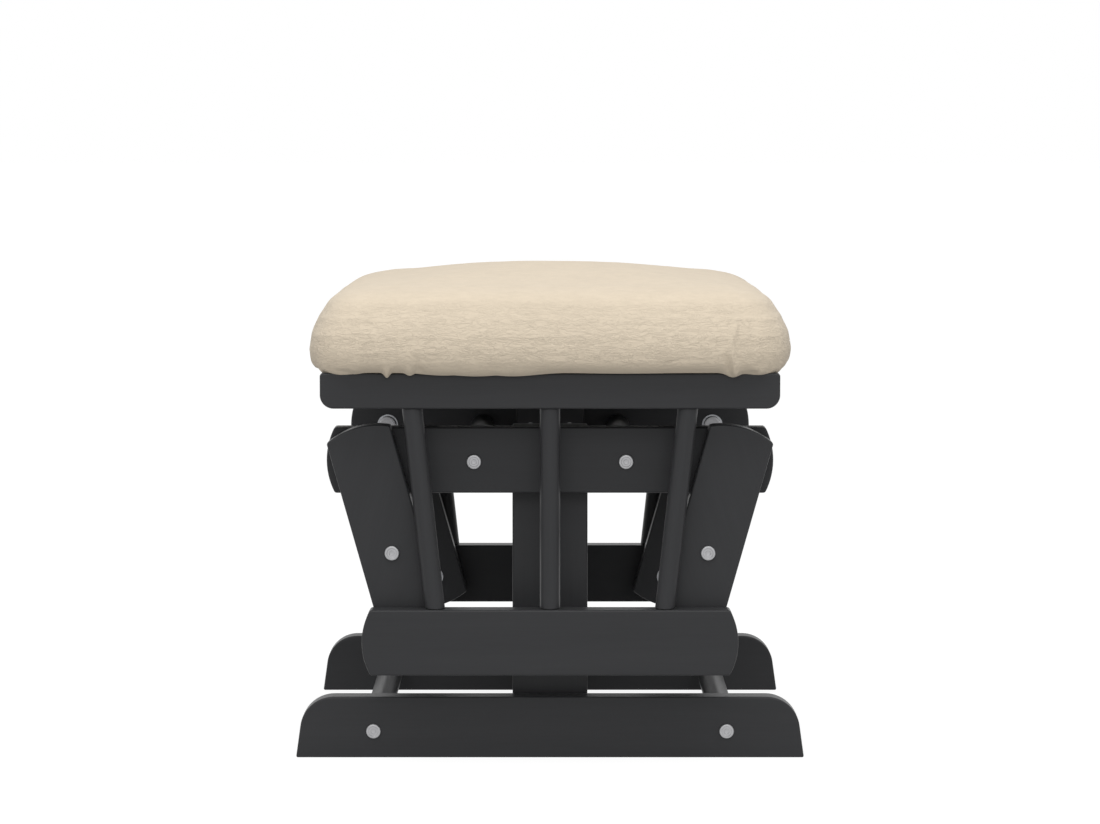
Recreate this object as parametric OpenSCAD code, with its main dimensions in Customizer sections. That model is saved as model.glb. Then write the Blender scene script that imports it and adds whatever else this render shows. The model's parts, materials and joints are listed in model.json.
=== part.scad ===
// Glider ottoman: a cushioned seat frame that hangs from a fixed base on four swing arms.
// The origin is on the floor at the middle. +X is the way the seat glides, +Y the left side, +Z up.
// Every side piece is drawn on the left and mirrored to the right.

/* [Boards] */
// Thickness of every board of the frame
board_t = 20; // [17:0.5:24]
// Running gap between two boards that swing past each other
board_gap = 3; // [3:0.1:6]

/* [Skids and posts] */
// Length of each skid along the floor
skid_length = 422; // [400:1:480]
// Height of each skid
skid_h = 51; // [46:0.5:58]
// Radius of the upper corners of a skid
skid_corner_r = 28; // [20:0.5:34]
// How far each skid end leans in below its corner
skid_end_lean = 3.5; // [1:0.5:6]
// Clear width between the two posts
post_spacing = 270; // [240:1:320]
// Width of each post
post_w = 62.5; // [54:0.5:72]
// Gap between the foot of a post and the floor
post_foot_gap = 2; // [1:0.5:5]

/* [Pivot rails] */
// How far a pivot rail with its bulged end runs on past its pivots
pivot_rail_over = 33.9; // [26:0.1:44]
// Height of each pivot rail
pivot_rail_h = 54.4; // [48:0.1:58]
// How far each end of a pivot rail bulges
pivot_rail_bulge = 6.6; // [3:0.1:9]

/* [Cross dowels] */
// Diameter of every cross dowel
dowel_d = 22; // [18:0.5:26]
// Distance from each end of a skid in to its dowel
skid_dowel_inset = 64.5; // [56:0.5:76]
// Height of the skid dowels above the floor
skid_dowel_h = 22.4; // [18:0.1:28]
// Distance between the front and rear rail dowels
rail_dowel_spacing = 125.4; // [110:0.2:140]
// How far the rail dowels sit below the upper pivots
rail_dowel_drop = 1.3; // [0:0.1:4]
// Diameter of a dowel bolt
dowel_bolt_d = 6; // [5:0.5:7]
// Diameter of a dowel bolt's head
dowel_bolt_head_d = 12; // [10:0.5:14]
// Thickness of a dowel bolt's head
dowel_bolt_head_t = 2.3; // [1.8:0.1:2.5]
// How far a dowel bolt reaches into its dowel
dowel_bolt_reach = 16; // [15:0.5:24]

/* [Swing arms] */
// Height of the upper pivots above the floor
upper_pivot_h = 248.2; // [240:0.1:256]
// Distance between the front and rear upper pivots
upper_pivot_spacing = 300.4; // [290:0.2:306]
// Distance between the front and rear lower pivots
lower_pivot_spacing = 219.2; // [214:0.2:226]
// Distance between the two pivots of an arm
arm_reach = 150.5; // [142:0.5:156]
// Width of an arm
arm_w = 54; // [48:0.5:60]
// How far the straight edges run on past the upper pivot
arm_top_over = 24; // [20:0.5:30]
// How far the straight edges run on past the lower pivot
arm_foot_over = 21.5; // [18:0.5:26]
// How far each end of an arm bulges
arm_end_bulge = 6; // [5:0.5:10]
// Distance from the upper pivot down to the arm's cross dowel
arm_dowel_drop = 77; // [70:0.1:90]

/* [Pivot bearings] */
// Diameter of a pivot bolt
pivot_bolt_d = 6; // [5:0.5:7]
// Diameter of a pivot bolt's head
pivot_bolt_head_d = 16; // [13:0.5:17]
// Thickness of a pivot bolt's head
pivot_bolt_head_t = 2.4; // [1.8:0.1:2.5]
// Outer diameter of a ball bearing
bearing_d = 19; // [18:0.5:21]
// Width of a ball bearing
bearing_w = 6; // [5:0.5:7]
// Wall of a bearing ring
ring_wall = 1.7; // [1.5:0.1:1.9]
// Number of balls in a bearing
ball_count = 7; // [5:1:7]
// Outer diameter of the sleeve that spaces an arm from its rail
sleeve_d = 9; // [8.8:0.1:10]
// Outer diameter of every threaded insert
insert_d = 9; // [8.5:0.5:11]
// Length of every threaded insert
insert_length = 13; // [9:0.5:14]

/* [Glide rails] */
// How far a glide rail with its bulged end runs on past its pivots
glide_rail_over = 43.8; // [35:0.1:52]
// Height of each glide rail
glide_rail_h = 53.8; // [48:0.1:58]
// How far each end of a glide rail bulges
glide_rail_bulge = 7; // [3:0.1:9]

/* [Spindles] */
// Diameter of a spindle
spindle_d = 16.5; // [14:0.5:18]
// Diameter of the tenons at a spindle's ends
tenon_d = 12; // [10:0.5:13]
// Height of the seat rails' undersides above the upper pivots
seat_above_pivots = 46.28; // [42:0.01:60]
// How far in from the ends of the seat side rails the outer spindles have their tops
spindle_top_inset = 74.35; // [68:0.05:90]
// How far inside the lower pivots the outer spindles have their feet
spindle_foot_inset = 15.7; // [12:0.1:30]
// How deep a spindle is set into each rail
tenon_length = 12; // [8:0.5:14]

/* [Seat frame] */
// Length of each seat side rail
seat_rail_length = 372.5; // [360:0.5:386]
// Height of each seat side rail
seat_rail_h = 29; // [27:0.5:36]
// Radius of the lower corners of a side rail
seat_rail_corner_r = 11; // [8:0.5:18]
// Radius of the upper corners of a side rail
seat_rail_top_r = 3; // [1:0.5:5]
// How far the slats stop short of each end of the side rails
slat_inset = 12.5; // [9:0.5:20]
// Width of a slat
slat_w = 45; // [36:1:52]
// Thickness of a slat
slat_t = 8; // [6:0.5:10]
// Number of slats
slat_count = 5; // [3:2:5]
// Width of the front and rear cross rails
cross_rail_w = 34; // [30:1:40]
// Diameter of the pins in the cross rails' ends
pin_d = 8; // [6:0.5:9]
// Distance between the two pins of an end
pin_spacing = 18; // [16:0.5:20]
// Length of a pin
pin_length = 26; // [20:0.5:30]

/* [Screws] */
// Diameter of a post screw
post_screw_d = 4; // [3.5:0.1:5]
// Diameter of a post screw's countersunk head
post_screw_head_d = 8; // [7:0.1:9]
// Length of a post screw
post_screw_length = 32; // [28:0.5:34]
// Distance between two post screws, along the post's width
post_screw_spacing = 36; // [28:0.5:40]
// Diameter of a slat screw
slat_screw_d = 3.5; // [3:0.1:4]
// Diameter of a slat screw's countersunk head
slat_screw_head_d = 7; // [6:0.1:8]
// Length of a slat screw
slat_screw_length = 22; // [16:0.5:23]

/* [Cushion] */
// How far the cushion stands out past each end of the side rails
cushion_end_over = 13; // [8:0.25:18]
// How far the cushion stands out past each side rail
cushion_side_over = 18; // [14:0.5:28]
// Height of the cushion's widest line above its underside
cushion_belly_h = 16.8; // [14:0.1:24]
// Height of the shoulder above the widest line
cushion_shoulder_h = 53.7; // [40:0.1:70]
// How far the shoulder is drawn in at its top
cushion_shoulder_in = 62.5; // [40:0.5:70]
// Rise of the crown above the shoulder
cushion_crown = 11.2; // [4:0.1:18]
// How far the lower edge turns under
cushion_turn_under = 6; // [4:0.5:14]
// How far the sides are drawn in midway between the corners
cushion_draw = 2.5; // [0.5:0.5:3]
// Thickness of the fabric cover
cover_t = 2; // [1:0.1:3]
// Thickness of the cover's underside panel
panel_t = 1.5; // [1:0.1:2.5]
// Thickness of one hook or loop strip
strip_t = 1.2; // [0.8:0.1:2]
// Width of a hook or loop strip
strip_w = 25; // [16:1:34]
// Length of a hook or loop strip
strip_length = 120; // [80:1:160]

/* [Hidden] */

wood_colour = "#3b3b3e";
hidden_wood_colour = "#2c2c2e";
zinc_colour = "#b4b4b6";
steel_colour = "#9a9da1";
brass_colour = "#b59a52";
fabric_colour = "#dccdb0";
foam_colour = "#efe3b8";
strip_colour = "#222224";
$fn = 64;

// Overrun of every cut past the face that it opens
cut_over = 1;
// Radial gap round everything that is fixed in a hole
fit_gap = 0.1;
// Gap round everything that turns, at balls and faces
turn_gap = 0.25;
// Radial gap round a sleeve where it runs through a board
sleeve_gap = 0.7;
// Gap left between the seat and the arm parts of the open pivot
open_pivot_gap = 0.5;
// How much more than half the space between the rings a ball's radius is
ball_seat = 0.35;
// Height of the collar that keeps a bolt's head off the outer ring
collar_t = 0.5;
// How far a pivot bolt reaches past its insert
bolt_tip = 1;
// Rounding of the edge of every bolt head
head_edge = 0.8;
// Width across the corners and depth of the hex socket in a bolt head
socket_d = 4.6;
socket_depth = 1.2;
// Gap between the foam and the fabric round it
soft_gap = 0.3;
// Depth in which the hooks meet the loops of the strips under the cushion
grip_gap = 0.2;

// Side planes of the boards, from the middle outward
post_y = post_spacing / 2;
skid_y = post_y + board_t;
arm_y = skid_y + board_t + board_gap;
glide_y = arm_y + board_t + board_gap;
seat_out_y = glide_y + board_t;

// Places along the skids and pivot rails
skid_dowel_x = skid_length / 2 - skid_dowel_inset;
pivot_rail_length = upper_pivot_spacing + 2 * pivot_rail_over;
glide_rail_length = lower_pivot_spacing + 2 * glide_rail_over;

// Pivot places
upper_pivot_x = upper_pivot_spacing / 2;
lower_pivot_x = lower_pivot_spacing / 2;
arm_in = upper_pivot_x - lower_pivot_x;
lower_pivot_h = upper_pivot_h - sqrt(arm_reach * arm_reach - arm_in * arm_in);
arm_lean = asin(arm_in / arm_reach);
arm_dowel_x = upper_pivot_x - arm_dowel_drop * sin(arm_lean);
arm_dowel_h = upper_pivot_h - arm_dowel_drop * cos(arm_lean);

// Heights of the base
pivot_rail_z = upper_pivot_h - pivot_rail_h / 2;
pivot_rail_top = pivot_rail_z + pivot_rail_h;
post_top = pivot_rail_top;

// Heights of the seat, which keeps clear of the arms at any reach
glide_rail_z = lower_pivot_h - glide_rail_h / 2;
glide_rail_top = glide_rail_z + glide_rail_h;
seat_rail_z = upper_pivot_h + seat_above_pivots;
spindle_rise = seat_rail_z - glide_rail_top;
spindle_foot_x = lower_pivot_x - spindle_foot_inset;
spindle_top_x = seat_rail_length / 2 - spindle_top_inset;
seat_top = seat_rail_z + seat_rail_h;
slat_top = seat_top - 2 * strip_t - grip_gap;
slat_z = slat_top - slat_t;
slat_length = seat_rail_length - 2 * slat_inset;
cross_rail_x = (slat_length - cross_rail_w) / 2;
cross_rail_h = slat_z - seat_rail_z;
slat_pitch = (2 * glide_y - slat_w) / slat_count;

// Radii of a bearing, from the bolt outward
bolt_r = pivot_bolt_d / 2;
inner_ring_r = bolt_r + ring_wall;
outer_ring_in_r = bearing_d / 2 - ring_wall;
ball_path_r = (inner_ring_r + outer_ring_in_r) / 2;
ball_r = (outer_ring_in_r - inner_ring_r) / 2 + ball_seat;

// Overall length and width of the cushion
cushion_x = seat_rail_length + 2 * cushion_end_over;
cushion_y = 2 * (seat_out_y + cushion_side_over);

// Points round the cushion and steps up its profile, with the powers of its outlines and its crown
cushion_around = 44;
under_steps = 3;
shoulder_steps = 6;
crown_steps = 3;
plan_power = 10;
crown_power = 3.5;
shoulder_power = 2.1;
crown_fall_power = 1.75;

// Plain helpers

// Repeats a left piece on the right
module both_sides() {
    children();
    mirror([0, 1, 0]) children();
}

// Repeats a front piece at the rear
module both_ends() {
    children();
    mirror([1, 0, 0]) children();
}

// A cylinder across the object, from one side plane outward to the next
module across(x, z, y_from, y_to, r) {
    translate([x, y_from, z]) rotate([-90, 0, 0]) cylinder(h = y_to - y_from, r = r);
}

// A board whose drawn face stands upright, with its inner face at the given side plane
module board(y_inner) {
    translate([0, y_inner + board_t, 0]) rotate([90, 0, 0]) linear_extrude(board_t) children();
}

// A plank's face: straight edges from low to high, and ends that bulge as shallow arcs
module bulged_plank(low, high, width, bulge) {
    arc_r = (width * width / 4 + bulge * bulge) / (2 * bulge);
    reach = arc_r - bulge;
    intersection() {
        translate([low - bulge - cut_over, -width / 2])
            square([high - low + 2 * (bulge + cut_over), width]);
        union() {
            translate([high - reach, 0]) circle(arc_r, $fn = 180);
            translate([low + reach, 0]) circle(arc_r, $fn = 180);
            translate([low + bulge, -width]) square([high - low - 2 * bulge, 2 * width]);
        }
    }
}

// A round bolt head with a softened edge, standing on its bearing face
module bolt_head(d, t) {
    difference() {
        rotate_extrude() polygon([
            [0, 0], [d / 2, 0], [d / 2, t - head_edge],
            for (a = [15 : 15 : 90])
                [d / 2 - head_edge * (1 - cos(a)), t - head_edge * (1 - sin(a))],
            [0, t]
        ]);
        translate([0, 0, t - socket_depth]) cylinder(h = socket_depth + cut_over, d = socket_d, $fn = 6);
    }
}

// A countersunk screw with its head's top at zero, running down
module countersunk(d, head_d, length, gap) {
    cone_h = (head_d - d) / 2;
    translate([0, 0, -cone_h]) cylinder(h = cone_h, r1 = d / 2 + gap, r2 = head_d / 2 + gap);
    translate([0, 0, -length - gap]) cylinder(h = length + gap - cone_h, r = d / 2 + gap);
}

// The hole that such a screw leaves, cut clear past the face
module countersunk_hole(d, head_d, length) {
    countersunk(d, head_d, length, fit_gap);
    cylinder(h = cut_over, r = head_d / 2 + fit_gap);
}

// Places children that run down so that they run outward from the inner face of a post
module into_post(x, z) {
    translate([x, post_y, z]) rotate([90, 0, 0]) children();
}

// Dowel joints: a bolt through a board into an insert in the end of a dowel

module dowel_bolt(x, z, y_outer) {
    translate([x, y_outer, z]) rotate([-90, 0, 0]) bolt_head(dowel_bolt_head_d, dowel_bolt_head_t);
    across(x, z, y_outer - board_t - dowel_bolt_reach, y_outer, dowel_bolt_d / 2);
}

module dowel_bolt_hole(x, z, y_inner) {
    across(x, z, y_inner - cut_over, y_inner + board_t + cut_over, dowel_bolt_d / 2 + fit_gap);
}

module dowel_insert(x, z, y_end) {
    difference() {
        across(x, z, y_end - insert_length, y_end, insert_d / 2);
        across(x, z, y_end - insert_length - cut_over, y_end + cut_over, dowel_bolt_d / 2 + fit_gap);
    }
}

module cross_dowel(x, z, y_end) {
    difference() {
        across(x, z, -y_end, y_end, dowel_d / 2);
        both_sides() {
            across(x, z, y_end - insert_length, y_end + cut_over, insert_d / 2 + fit_gap);
            across(x, z, y_end - dowel_bolt_reach - bolt_tip, y_end, dowel_bolt_d / 2 + fit_gap);
        }
    }
}

// Pivots: a bearing in a board's inner face, and a bolt from inside into the next board

module bearing_pocket(x, z, y_inner) {
    across(x, z, y_inner - cut_over, y_inner + bearing_w, bearing_d / 2 + fit_gap);
    across(x, z, y_inner, y_inner + board_t + cut_over, sleeve_d / 2 + sleeve_gap);
}

module ball_groove() {
    rotate_extrude() translate([ball_path_r, 0]) circle(ball_r + turn_gap);
}

// A ring with its groove, lying across the object from the inner face of its board
module bearing_ring(x, z, y_inner, r_in, r_out) {
    translate([x, y_inner, z]) rotate([-90, 0, 0]) difference() {
        cylinder(h = bearing_w, r = r_out);
        translate([0, 0, -cut_over]) cylinder(h = bearing_w + 2 * cut_over, r = r_in);
        translate([0, 0, bearing_w / 2]) ball_groove();
    }
}

module outer_ring(x, z, y_inner) {
    bearing_ring(x, z, y_inner, outer_ring_in_r, bearing_d / 2);
}

module inner_ring(x, z, y_inner) {
    bearing_ring(x, z, y_inner, bolt_r + fit_gap, inner_ring_r);
}

module bearing_balls(x, z, y_inner) {
    translate([x, y_inner + bearing_w / 2, z]) for (i = [0 : ball_count - 1])
        rotate([0, i * 360 / ball_count, 0]) translate([ball_path_r, 0, 0]) sphere(r = ball_r);
}

// The sleeve runs from the bearing to the face of the board that the bolt holds
module pivot_sleeve(x, z, y_inner, shortened) {
    y_from = y_inner + bearing_w;
    y_to = y_inner + board_t + board_gap - shortened;
    difference() {
        across(x, z, y_from, y_to, sleeve_d / 2);
        across(x, z, y_from - cut_over, y_to + cut_over, bolt_r + fit_gap);
    }
}

// The bolt's head stands on a collar at the inner ring; the shank ends where told
module pivot_bolt(x, z, y_inner, y_end) {
    translate([x, y_inner - collar_t, z]) rotate([90, 0, 0])
        bolt_head(pivot_bolt_head_d, pivot_bolt_head_t);
    across(x, z, y_inner - collar_t, y_inner, inner_ring_r);
    across(x, z, y_inner - collar_t, y_end, bolt_r);
}

module pivot_insert(x, z, y_inner) {
    difference() {
        across(x, z, y_inner, y_inner + insert_length, insert_d / 2);
        across(x, z, y_inner - cut_over, y_inner + insert_length + cut_over, bolt_r + fit_gap);
    }
}

module pivot_insert_hole(x, z, y_inner) {
    across(x, z, y_inner - cut_over, y_inner + insert_length, insert_d / 2 + fit_gap);
    across(x, z, y_inner, y_inner + insert_length + bolt_tip + fit_gap, bolt_r + fit_gap);
}

// Where each bolt ends: past the insert, or short of the seat at the open pivot
upper_bolt_end = arm_y + insert_length + bolt_tip;
lower_bolt_end = glide_y + insert_length + bolt_tip;
open_bolt_end = glide_y - open_pivot_gap;

// Base

module skid_face() {
    arc_x = skid_length / 2 - skid_end_lean - skid_corner_r;
    arc_z = skid_h - skid_corner_r;
    polygon([
        [-skid_length / 2, 0], [skid_length / 2, 0],
        [skid_length / 2 - skid_end_lean, arc_z], [skid_end_lean - skid_length / 2, arc_z]
    ]);
    translate([-arc_x, 0]) square([2 * arc_x, skid_h]);
    intersection() {
        for (x = [-arc_x, arc_x]) translate([x, arc_z]) circle(skid_corner_r, $fn = 120);
        translate([-skid_length / 2, arc_z]) square([skid_length, skid_corner_r + cut_over]);
    }
}

module skid() {
    color(wood_colour) difference() {
        board(skid_y) skid_face();
        both_ends() dowel_bolt_hole(skid_dowel_x, skid_dowel_h, skid_y);
        post_screw_places() countersunk_hole(post_screw_d, post_screw_head_d, post_screw_length);
    }
}

// Two screws low into the skid and two high into the pivot rail
module post_screw_places() {
    for (z = [(skid_h + post_foot_gap) / 2, upper_pivot_h], side = [-1, 1])
        into_post(side * post_screw_spacing / 2, z) children();
}

module post() {
    color(wood_colour) difference() {
        translate([-post_w / 2, post_y, post_foot_gap]) cube([post_w, board_t, post_top - post_foot_gap]);
        post_screw_places() countersunk_hole(post_screw_d, post_screw_head_d, post_screw_length);
    }
}

module pivot_rail() {
    half = pivot_rail_length / 2 - pivot_rail_bulge;
    color(wood_colour) difference() {
        board(skid_y) translate([0, upper_pivot_h])
            bulged_plank(-half, half, pivot_rail_h, pivot_rail_bulge);
        both_ends() {
            bearing_pocket(upper_pivot_x, upper_pivot_h, skid_y);
            dowel_bolt_hole(rail_dowel_spacing / 2, upper_pivot_h - rail_dowel_drop, skid_y);
        }
        post_screw_places() countersunk_hole(post_screw_d, post_screw_head_d, post_screw_length);
    }
}

module skid_dowel() {
    color(wood_colour) cross_dowel(skid_dowel_x, skid_dowel_h, skid_y);
}

module rail_dowel() {
    color(wood_colour) cross_dowel(rail_dowel_spacing / 2, upper_pivot_h - rail_dowel_drop, skid_y);
}

module base_dowel_bolts() {
    color(zinc_colour) both_ends() both_sides() {
        dowel_bolt(skid_dowel_x, skid_dowel_h, skid_y + board_t);
        dowel_bolt(rail_dowel_spacing / 2, upper_pivot_h - rail_dowel_drop, skid_y + board_t);
    }
}

module base_dowel_inserts() {
    color(brass_colour) both_ends() both_sides() {
        dowel_insert(skid_dowel_x, skid_dowel_h, skid_y);
        dowel_insert(rail_dowel_spacing / 2, upper_pivot_h - rail_dowel_drop, skid_y);
    }
}

module post_screws() {
    color(steel_colour) both_sides() post_screw_places()
        countersunk(post_screw_d, post_screw_head_d, post_screw_length, 0);
}

module upper_bearing_outer_rings() {
    color(steel_colour) both_ends() both_sides() outer_ring(upper_pivot_x, upper_pivot_h, skid_y);
}

module upper_bearing_balls() {
    color(steel_colour) both_ends() both_sides() bearing_balls(upper_pivot_x, upper_pivot_h, skid_y);
}

// Swing arms, drawn at the front

module arm() {
    color(wood_colour) difference() {
        board(arm_y) translate([upper_pivot_x, upper_pivot_h]) rotate(90 - arm_lean)
            bulged_plank(-arm_reach - arm_foot_over, arm_top_over, arm_w, arm_end_bulge);
        pivot_insert_hole(upper_pivot_x, upper_pivot_h, arm_y);
        bearing_pocket(lower_pivot_x, lower_pivot_h, arm_y);
        dowel_bolt_hole(arm_dowel_x, arm_dowel_h, arm_y);
    }
}

module arm_dowel() {
    color(wood_colour) cross_dowel(arm_dowel_x, arm_dowel_h, arm_y);
}

module arm_bolts() {
    color(zinc_colour) both_sides() dowel_bolt(arm_dowel_x, arm_dowel_h, arm_y + board_t);
}

module arm_dowel_inserts() {
    color(brass_colour) both_sides() dowel_insert(arm_dowel_x, arm_dowel_h, arm_y);
}

module upper_pivot_bolts() {
    color(zinc_colour) both_sides() pivot_bolt(upper_pivot_x, upper_pivot_h, skid_y, upper_bolt_end);
}

module upper_inner_rings() {
    color(steel_colour) both_sides() inner_ring(upper_pivot_x, upper_pivot_h, skid_y);
}

module upper_sleeves() {
    color(steel_colour) both_sides() pivot_sleeve(upper_pivot_x, upper_pivot_h, skid_y, 0);
}

module upper_inserts() {
    color(brass_colour) both_sides() pivot_insert(upper_pivot_x, upper_pivot_h, arm_y);
}

module lower_outer_rings() {
    color(steel_colour) both_sides() outer_ring(lower_pivot_x, lower_pivot_h, arm_y);
}

module lower_balls() {
    color(steel_colour) both_sides() bearing_balls(lower_pivot_x, lower_pivot_h, arm_y);
}

module lower_inner_rings() {
    color(steel_colour) both_sides() inner_ring(lower_pivot_x, lower_pivot_h, arm_y);
}

// A shortened sleeve and bolt leave the open pivot free of the seat
module lower_sleeves(shortened) {
    color(steel_colour) both_sides() pivot_sleeve(lower_pivot_x, lower_pivot_h, arm_y, shortened);
}

module lower_pivot_bolts(y_end) {
    color(zinc_colour) both_sides() pivot_bolt(lower_pivot_x, lower_pivot_h, arm_y, y_end);
}

// Seat frame

module glide_rail() {
    half = glide_rail_length / 2 - glide_rail_bulge;
    color(wood_colour) difference() {
        board(glide_y) translate([0, lower_pivot_h])
            bulged_plank(-half, half, glide_rail_h, glide_rail_bulge);
        both_ends() pivot_insert_hole(lower_pivot_x, lower_pivot_h, glide_y);
        tenon_shapes(fit_gap);
    }
}

module seat_rail_face() {
    bottom_x = seat_rail_length / 2 - seat_rail_corner_r;
    top_x = seat_rail_length / 2 - seat_rail_top_r;
    translate([-bottom_x, seat_rail_z]) square([2 * bottom_x, seat_rail_h]);
    translate([-top_x, seat_rail_z + seat_rail_corner_r])
        square([2 * top_x, seat_rail_h - seat_rail_corner_r]);
    translate([-seat_rail_length / 2, seat_rail_z + seat_rail_corner_r])
        square([seat_rail_length, seat_rail_h - seat_rail_corner_r - seat_rail_top_r]);
    for (side = [-1, 1]) {
        translate([side * bottom_x, seat_rail_z + seat_rail_corner_r])
            circle(seat_rail_corner_r, $fn = 96);
        translate([side * top_x, seat_top - seat_rail_top_r]) circle(seat_rail_top_r);
    }
}

module seat_rail() {
    color(wood_colour) difference() {
        board(glide_y) seat_rail_face();
        tenon_shapes(fit_gap);
        pin_shapes(fit_gap);
    }
}

// A round bar on the line from a spindle's foot to its top, run on past both by the given length
module leaning_bar(foot_x, top_x, r, over) {
    lean = atan((top_x - foot_x) / spindle_rise);
    translate([foot_x, glide_y + board_t / 2, glide_rail_top]) rotate([0, lean, 0])
        translate([0, 0, -over]) cylinder(h = spindle_rise / cos(lean) + 2 * over, r = r);
}

// The tenons of a side's three spindles, each as one bar through its spindle, or their holes
module tenon_shapes(gap) {
    leaning_bar(0, 0, tenon_d / 2 + gap, tenon_length + gap);
    both_ends() leaning_bar(spindle_foot_x, spindle_top_x, tenon_d / 2 + gap, tenon_length + gap);
}

// The spindles' shafts, whose shoulders are cut level and stand on the faces of both rails
module shaft_shapes() {
    intersection() {
        union() {
            leaning_bar(0, 0, spindle_d / 2, spindle_d);
            both_ends() leaning_bar(spindle_foot_x, spindle_top_x, spindle_d / 2, spindle_d);
        }
        translate([-seat_rail_length / 2, glide_y, glide_rail_top])
            cube([seat_rail_length, board_t, spindle_rise]);
    }
}

module spindles() {
    color(wood_colour) {
        tenon_shapes(0);
        shaft_shapes();
    }
}

// Pins of both cross rails, half in the side rail and half in the cross rail
module pin_shapes(gap) {
    z = seat_rail_z + cross_rail_h / 2;
    both_ends() for (side = [-1, 1])
        across(cross_rail_x + side * pin_spacing / 2, z,
               glide_y - pin_length / 2 - gap, glide_y + pin_length / 2 + gap, pin_d / 2 + gap);
}

module cross_rail() {
    color(hidden_wood_colour) difference() {
        translate([cross_rail_x - cross_rail_w / 2, -glide_y, seat_rail_z])
            cube([cross_rail_w, 2 * glide_y, cross_rail_h]);
        both_sides() pin_shapes(fit_gap);
        slat_screw_places() countersunk_hole(slat_screw_d, slat_screw_head_d, slat_screw_length);
    }
}

module cross_rail_pins() {
    color("#c9a878") both_sides() pin_shapes(0);
}

function slat_y(i) = (i - (slat_count - 1) / 2) * slat_pitch;

module slat_screw_places() {
    for (i = [0 : slat_count - 1], side = [-1, 1])
        translate([side * cross_rail_x, slat_y(i), slat_top]) children();
}

module seat_slats() {
    color(hidden_wood_colour) difference() {
        for (i = [0 : slat_count - 1])
            translate([-slat_length / 2, slat_y(i) - slat_w / 2, slat_z]) cube([slat_length, slat_w, slat_t]);
        slat_screw_places() countersunk_hole(slat_screw_d, slat_screw_head_d, slat_screw_length);
    }
}

module slat_screws() {
    color(steel_colour) slat_screw_places()
        countersunk(slat_screw_d, slat_screw_head_d, slat_screw_length, 0);
}

// Inserts of all four lower pivots; the open ones in front hold the ends of their bolts
module lower_pivot_inserts() {
    color(brass_colour) both_ends() both_sides() pivot_insert(lower_pivot_x, lower_pivot_h, glide_y);
    color(zinc_colour) both_sides()
        across(lower_pivot_x, lower_pivot_h, glide_y, lower_bolt_end, bolt_r);
}

// Cushion: rings of points that follow the belly, the shoulder and the crown

// One point of a ring, on a rounded rectangle of the given half sizes
function ring_point(half_x, half_y, power, draw, t) =
    let (c = cos(t), s = sin(t), pull = draw * pow(cos(2 * t), 2))
    [sign(c) * (half_x - pull) * pow(abs(c), 2 / power), sign(s) * (half_y - pull) * pow(abs(s), 2 / power)];

// A ring's inset, height, scale and power, as [inset, z, scale, power, draw], for a skin set in by depth
function under_ring(t, floor_z) =
    [cushion_turn_under * (1 - sin(t)), max(floor_z, cushion_belly_h * (1 - cos(t))), 1, plan_power,
     cushion_draw * cos(t)];

function shoulder_ring(t, depth) =
    [cushion_shoulder_in * (1 - pow(cos(t), 2 / shoulder_power)),
     cushion_belly_h + (cushion_shoulder_h - depth) * pow(sin(t), 2 / shoulder_power), 1, plan_power, 0];

function crown_ring(share, depth) =
    [cushion_shoulder_in,
     cushion_belly_h + cushion_shoulder_h - depth + cushion_crown * (1 - pow(share, crown_fall_power)), share,
     crown_power + (plan_power - crown_power) * share, 0];

function cushion_rings(depth, floor_z) = [
    for (i = [0 : under_steps - 1]) under_ring(90 * i / under_steps, floor_z * (1 - i)),
    for (i = [0 : shoulder_steps]) shoulder_ring(90 * i / shoulder_steps, depth),
    for (i = [crown_steps : -1 : 1]) crown_ring(i / (crown_steps + 1), depth)
];

function cushion_top(depth) = cushion_belly_h + cushion_shoulder_h + cushion_crown - depth;

function cushion_points(depth, floor_z) = [
    for (ring = cushion_rings(depth, floor_z), k = [0 : cushion_around - 1])
        let (flat = ring_point((cushion_x / 2 - ring[0] - depth) * ring[2],
                               (cushion_y / 2 - ring[0] - depth) * ring[2],
                               ring[3], ring[4], 360 * k / cushion_around))
        [flat[0], flat[1], seat_top + ring[1]],
    [0, 0, seat_top + cushion_top(depth)]
];

ring_total = under_steps + shoulder_steps + 1 + crown_steps;
skin_points = ring_total * cushion_around + 1;

// Faces of one skin, whose first point is at start; outward when turned is false
function skin_faces(start, turned) = [
    for (i = [0 : ring_total - 2], k = [0 : cushion_around - 1])
        let (a = start + i * cushion_around + k,
             b = start + i * cushion_around + (k + 1) % cushion_around,
             c = b + cushion_around, d = a + cushion_around)
        each turned ? [[a, b, c], [a, c, d]] : [[a, c, b], [a, d, c]],
    for (k = [0 : cushion_around - 1])
        let (a = start + (ring_total - 1) * cushion_around + k,
             b = start + (ring_total - 1) * cushion_around + (k + 1) % cushion_around,
             top = start + skin_points - 1)
        turned ? [a, b, top] : [a, top, b]
];

module cushion_cover() {
    points = concat(cushion_points(0, 0), cushion_points(cover_t, 0));
    rim = [for (k = [0 : cushion_around - 1])
        let (a = k, b = (k + 1) % cushion_around, c = b + skin_points, d = a + skin_points)
        each [[a, b, c], [a, c, d]]];
    color(fabric_colour)
        polyhedron(points, concat(skin_faces(0, false), skin_faces(skin_points, true), rim));
}

module cushion_foam() {
    points = cushion_points(cover_t + soft_gap, panel_t + soft_gap);
    color(foam_colour) polyhedron(
        points, concat(skin_faces(0, false), [[for (k = [0 : cushion_around - 1]) k]]));
}

// The panel lies inside the rim of the cover and closes it below
module cushion_underside() {
    inset = cushion_turn_under + cover_t + soft_gap;
    color(strip_colour) translate([0, 0, seat_top]) linear_extrude(panel_t) polygon([
        for (k = [0 : cushion_around - 1])
            ring_point(cushion_x / 2 - inset, cushion_y / 2 - inset, plan_power, cushion_draw,
                       360 * k / cushion_around)
    ]);
}

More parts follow.
